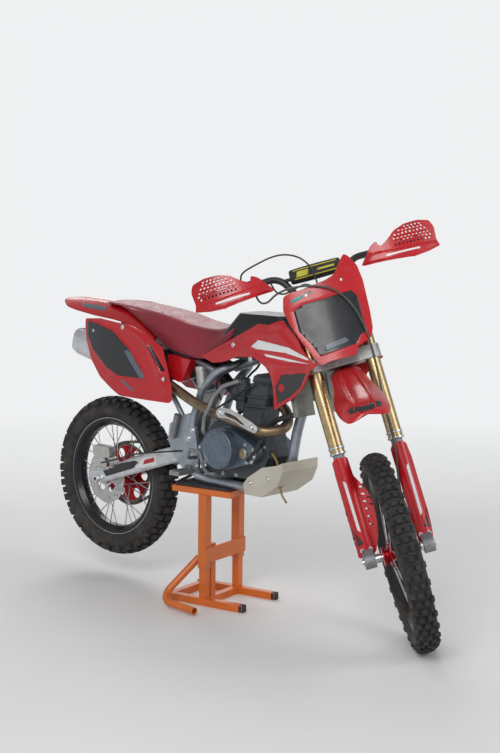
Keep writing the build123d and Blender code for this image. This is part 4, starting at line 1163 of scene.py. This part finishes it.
def flange(low, high, grow):
    """A rounded flange round the cylinder; low and high are the heights of its two faces. The
    cylinder leans ahead and grows slimmer from its foot to its head."""
    foot, head = 690, 800
    rows = []
    for height, spread in ((low, -2), (low + 2, 0), (high - 2, 0), (high, -2)):
        share = max(0, (height - foot) / (head - foot))
        x = 185 + 37 * share
        depth, width = 44 - 9 * share + grow + spread, 46 - 4 * share + grow + spread
        outline = [(depth, width), (-depth, width), (-depth, -width), (depth, -width)]
        rows.append([metres(x + one.x, one.y, height) for one in rounded(outline, 10, 5)])
    return rows


for name, low, high, grow in (
    ("cylinder_foot", 690, 699, 7), ("head_foot", 722, 731, 6), ("head_seam", 764, 770, 5),
    ("head_cover", 774, 797, 4),
):
    new_piece(name, skin(flange(low, high, grow)), ROOT, cast_dark)
for name, radius, route in (
    ("bay_cable_upper", 4, (
        (150, -30, 850), (112, -62, 812), (60, -70, 790), (20, -62, 752), (30, -40, 700),
    )),
    ("bay_cable_middle", 3.5, (
        (205, -40, 770), (160, -62, 752), (110, -66, 712), (60, -62, 690), (10, -58, 660),
    )),
    ("bay_pipe", 6, ((98, 0, 668), (96, -34, 652), (60, -50, 642), (20, -52, 620), (-14, -50, 590))),
    ("bay_cable_left", 4, (
        (150, 30, 850), (112, 62, 812), (60, 70, 780), (20, 62, 722), (30, 50, 660),
    )),
    ("brake_pipe", 3, (
        (-60, -66, 520), (-120, -88, 512), (-200, -104, 500), (-320, -104, 480), (-430, -104, 442),
        (-498, -104, 424),
    )),
):
    hose(name, ROOT, radius, hose_black, [metres(*point) for point in route])

# Swingarm labels: a dark one behind a pale one with a red block
for hand, end in SIDES:
    labels("arm", arm_tree, beside(hand), Vector((0, -hand, 0)), ROOT, (
        ("dark", [
            (-500, 396), (-476, 414), (-334, 452), (-312, 446), (-344, 422), (-480, 376),
        ], black_film),
        ("pale", [
            (-302, 462), (-250, 482), (-236, 482), (-236, 448), (-322, 424), (-334, 434),
        ], white_film),
        ("block", [(-288, 460), (-244, 474), (-244, 458), (-296, 442)], red_film, ON_FILM),
    ), end)

# Chain links along the path round both sprockets, which are given by x, z and teeth
chain_pitch, chain_y = 12.7, 57.0
sprockets = ((-38, 516, 15), (-523, 363, 56))
path = []
for step in range(1440):
    angle = 2 * pi * step / 1440
    reaches = []
    for x, z, teeth in sprockets:
        reach = chain_pitch / (2 * sin(pi / teeth))
        reaches.append((
            x * cos(angle) + z * sin(angle) + reach, x + reach * cos(angle), z + reach * sin(angle),
        ))
    path.append(Vector(max(reaches)[1:]))
marks = [0.0]
for one, two in zip(path, path[1:] + path[:1]):
    marks.append(marks[-1] + (two - one).length)
count = 2 * round(marks[-1] / chain_pitch / 2)
pins, spot = [], 0
for index in range(count):
    mark = marks[-1] * index / count
    while marks[spot + 1] < mark:
        spot += 1
    run = marks[spot + 1] - marks[spot]
    share = (mark - marks[spot]) / run if run else 0
    pins.append(path[spot].lerp(path[(spot + 1) % len(path)], share))


def pin_ring(shape, pin, y, radius, corners):
    """Vertices round a pin; y is across the bike from the chain's middle."""
    return [
        shape.verts.new(metres(x, chain_y + y, z)) for x, z in circle(pin.x, pin.y, radius, corners)
    ]


shape = bmesh.new()
for index, pin in enumerate(pins):
    other = pins[(index + 1) % count]
    along = (other - pin).normalized()
    aside = Vector((-along.y, along.x))
    # A plate runs round both pins, with a waist between them
    outline = []
    for centre, start, side in ((pin, pi / 2, -1), (other, -pi / 2, 1)):
        for step in range(7):
            angle = start + pi * step / 6
            outline.append(centre + 5.6 * (along * cos(angle) + aside * sin(angle)))
        outline.append((pin + other) / 2 + aside * 3.8 * side)
    plates = (3.3, 4.6) if index % 2 else (4.7, 6.0)
    for hand in (-1, 1):
        closed(shape, [[metres(p.x, chain_y + hand * y, p.y) for p in outline] for y in plates])
    bridged(shape, *[pin_ring(shape, pin, y, 4, 10) for y in (-3.3, 3.3)])
    for y in (-6.4, 6.4):
        shape.faces.new(pin_ring(shape, pin, y, 1.8, 8))
bmesh.ops.recalc_face_normals(shape, faces=shape.faces)
links = new_piece(
    "chain_links", mesh_of("chain_links", shape, soft=False), ROOT, chain_steel,
)
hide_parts("drive_chain")

# Ribs on the grips, between a ring at the end and a flange at the inner side
rib = ((15.6, 0), (16.9, 0.8), (16.9, 3.6), (15.6, 4.4))
end_ring = ((12, 0), (17.5, 1.5), (17.5, 5), (15.8, 6.5))
inner_flange = ((15.8, 0), (21, 2), (21, 5), (15.8, 8))
rib_parts = []
for hand in (-1, 1):
    tip, inner = steered(-58, hand * 368, 284), steered(2, hand * 118, 278)
    way = (inner - tip).normalized()
    rib_parts += [(tip + way * (0.010 + 0.008 * index), way, rib, 28) for index in range(12)]
    rib_parts += [(tip - way * 0.001, way, end_ring, 28), (tip + way * 0.108, way, inner_flange, 28)]
turned_piece("grip_ribs", FRONT, grip_rubber, rib_parts)

# Black caps in the ends of the stand's rails
stand_turn = Matrix.Rotation(radians(9), 4, "Z")
rail_end, rail_side, rail_middle = 162, 100, 12.7
cap_places = [(side, way) for side in (-1, 1) for way in (1, -1)]
for index, (side, way) in enumerate(cap_places):
    rows = []
    for out, size in ((-14, 12.6), (-2, 12.6), (0.6, 12.2), (2.6, 10.5)):
        square = [(size, size), (-size, size), (-size, -size), (size, -size)]
        rows.append([
            stand_turn @ metres(way * (rail_end + out), side * rail_side + one.x, rail_middle + one.y)
            for one in rounded(square, 2.5, 3)
        ])
    new_piece(f"stand_cap_{index}", skin(rows), ROOT, mat_rubber)


# Brake discs: a scalloped rim with drillings and windows
def drilled_disc(name, node, body, centre, axle):
    """Takes its size from the disc that it replaces, and has windows only where they fit."""
    forward = axle.orthogonal().normalized()
    upward = axle.cross(forward)
    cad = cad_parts[node]
    places = [cad.matrix_world @ vertex.co - centre for vertex in cad.data.vertices]
    along = [place.dot(axle) * 1000 for place in places]
    out = [hypot(place.dot(forward), place.dot(upward)) * 1000 for place in places]
    high, low, wide, bore = max(along), min(along), max(out), min(out)
    rim = []
    for step in range(96):
        angle = 2 * pi * step / 96
        reach = wide - 1.6 * (1 - cos(8 * angle))
        rim.append((reach * cos(angle), reach * sin(angle)))
    holes = [circle(0, 0, bore, 28)]
    for row, reach in enumerate((wide - 11, wide - 20, wide - 29)):
        for step in range(16):
            angle = 2 * pi * (step + row / 3) / 16
            holes.append(circle(reach * cos(angle), reach * sin(angle), 3.2, 8))
    windows, band_in, band_out = 5, bore + 9, wide - 39
    if band_out - band_in > 8:
        for step in range(windows):
            start = 2 * pi * step / windows
            spread = 2 * pi / windows - 14 / band_in
            angles = [start + spread * turn / 6 for turn in range(7)]
            holes.append(
                [(band_out * cos(angle), band_out * sin(angle)) for angle in angles]
                + [(band_in * cos(angle), band_in * sin(angle)) for angle in reversed(angles)]
            )
    shape = diced(rim, holes, 40)
    for vertex in shape.verts:
        vertex.co = centre + (axle * high + forward * vertex.co.x + upward * vertex.co.y) / 1000
    disc = film(name, shape, axle, (high - low) / 1000, body, disc_steel, 0.0004)
    for face in disc.data.polygons:
        face.use_smooth = False
    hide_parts(node)


drilled_disc("front_disc_drilled", "front_disc", FRONT_WHEEL, front_centre, steer_left)
drilled_disc("rear_disc_drilled", "rear_disc", REAR_WHEEL, rear_centre, cross_axis)

# Floor that fades into the backdrop away from the bike
BACKDROP = (0.86, 0.87, 0.88)
floor_look = Look("floor_look", Roughness=0.9)
floor_look.set("Base Color", floor_look.mix(floor_look.cloud(3), (0.8, 0.8, 0.8), (0.82, 0.82, 0.82)))
far = floor_look.span(floor_look.radial((0, 0, 0), (0, 0, 1)), 1.6, 4.2)
light_path = floor_look.add("ShaderNodeLightPath")
seen = floor_look.math(
    "MAXIMUM", light_path.outputs["Is Camera Ray"], light_path.outputs["Is Glossy Ray"]
)
glow = floor_look.add("ShaderNodeEmission", Color=(*BACKDROP, 1), Strength=1.0)
blend = floor_look.add("ShaderNodeMixShader")
share = floor_look.math("MULTIPLY", far, seen)
for socket, value in zip(blend.inputs, (share, floor_look.shader.outputs[0], glow.outputs[0])):
    floor_look.feed(socket, value)
floor_look.feed(floor_look.tree.nodes["Material Output"].inputs["Surface"], blend.outputs[0])
floor_mesh = bpy.data.meshes.new("floor")
reach = 40.0
floor_mesh.from_pydata(
    [(-reach, -reach, 0), (reach, -reach, 0), (reach, reach, 0), (-reach, reach, 0)], [],
    [(0, 1, 2, 3)],
)
floor_mesh.materials.append(floor_look.material)
floor = bpy.data.objects.new("floor", floor_mesh)
scene.collection.objects.link(floor)

# Backdrop: full strength to the camera, less in reflections and as light on the bike
light_strength, glossy_strength = 0.42, 0.62
world = bpy.data.worlds.new("world")
world.use_nodes = True
scene.world = world
sky = world.node_tree
sky_shader = sky.nodes["Background"]
sky_shader.inputs["Color"].default_value = (*BACKDROP, 1)
path = sky.nodes.new("ShaderNodeLightPath")
dim = sky.nodes.new("ShaderNodeMapRange")
sky.links.new(path.outputs["Is Glossy Ray"], dim.inputs[0])
dim.inputs[3].default_value = light_strength
dim.inputs[4].default_value = glossy_strength
strength = sky.nodes.new("ShaderNodeMath")
strength.operation = "MAXIMUM"
sky.links.new(path.outputs["Is Camera Ray"], strength.inputs[0])
sky.links.new(dim.outputs[0], strength.inputs[1])
sky.links.new(strength.outputs[0], sky_shader.inputs["Strength"])

# Name, place, size in metres and power of each soft lamp, all aimed at the bike's middle
for name, place, size, power in (
    ("key", (2.6, -4.2, 3.6), 2.4, 130), ("fill", (4.4, 1.0, 2.4), 2.2, 45),
    ("back", (-3.0, 2.5, 3.4), 2.4, 80),
):
    lamp = bpy.data.lights.new(name, "AREA")
    lamp.size = size
    lamp.energy = power
    holder = bpy.data.objects.new(name, lamp)
    aim = Vector((0.15, 0, 0.6)) - Vector(place)
    holder.matrix_world = Matrix.Translation(place) @ aim.to_track_quat("-Z", "Y").to_matrix().to_4x4()
    scene.collection.objects.link(holder)

scene.view_settings.view_transform = "Standard"
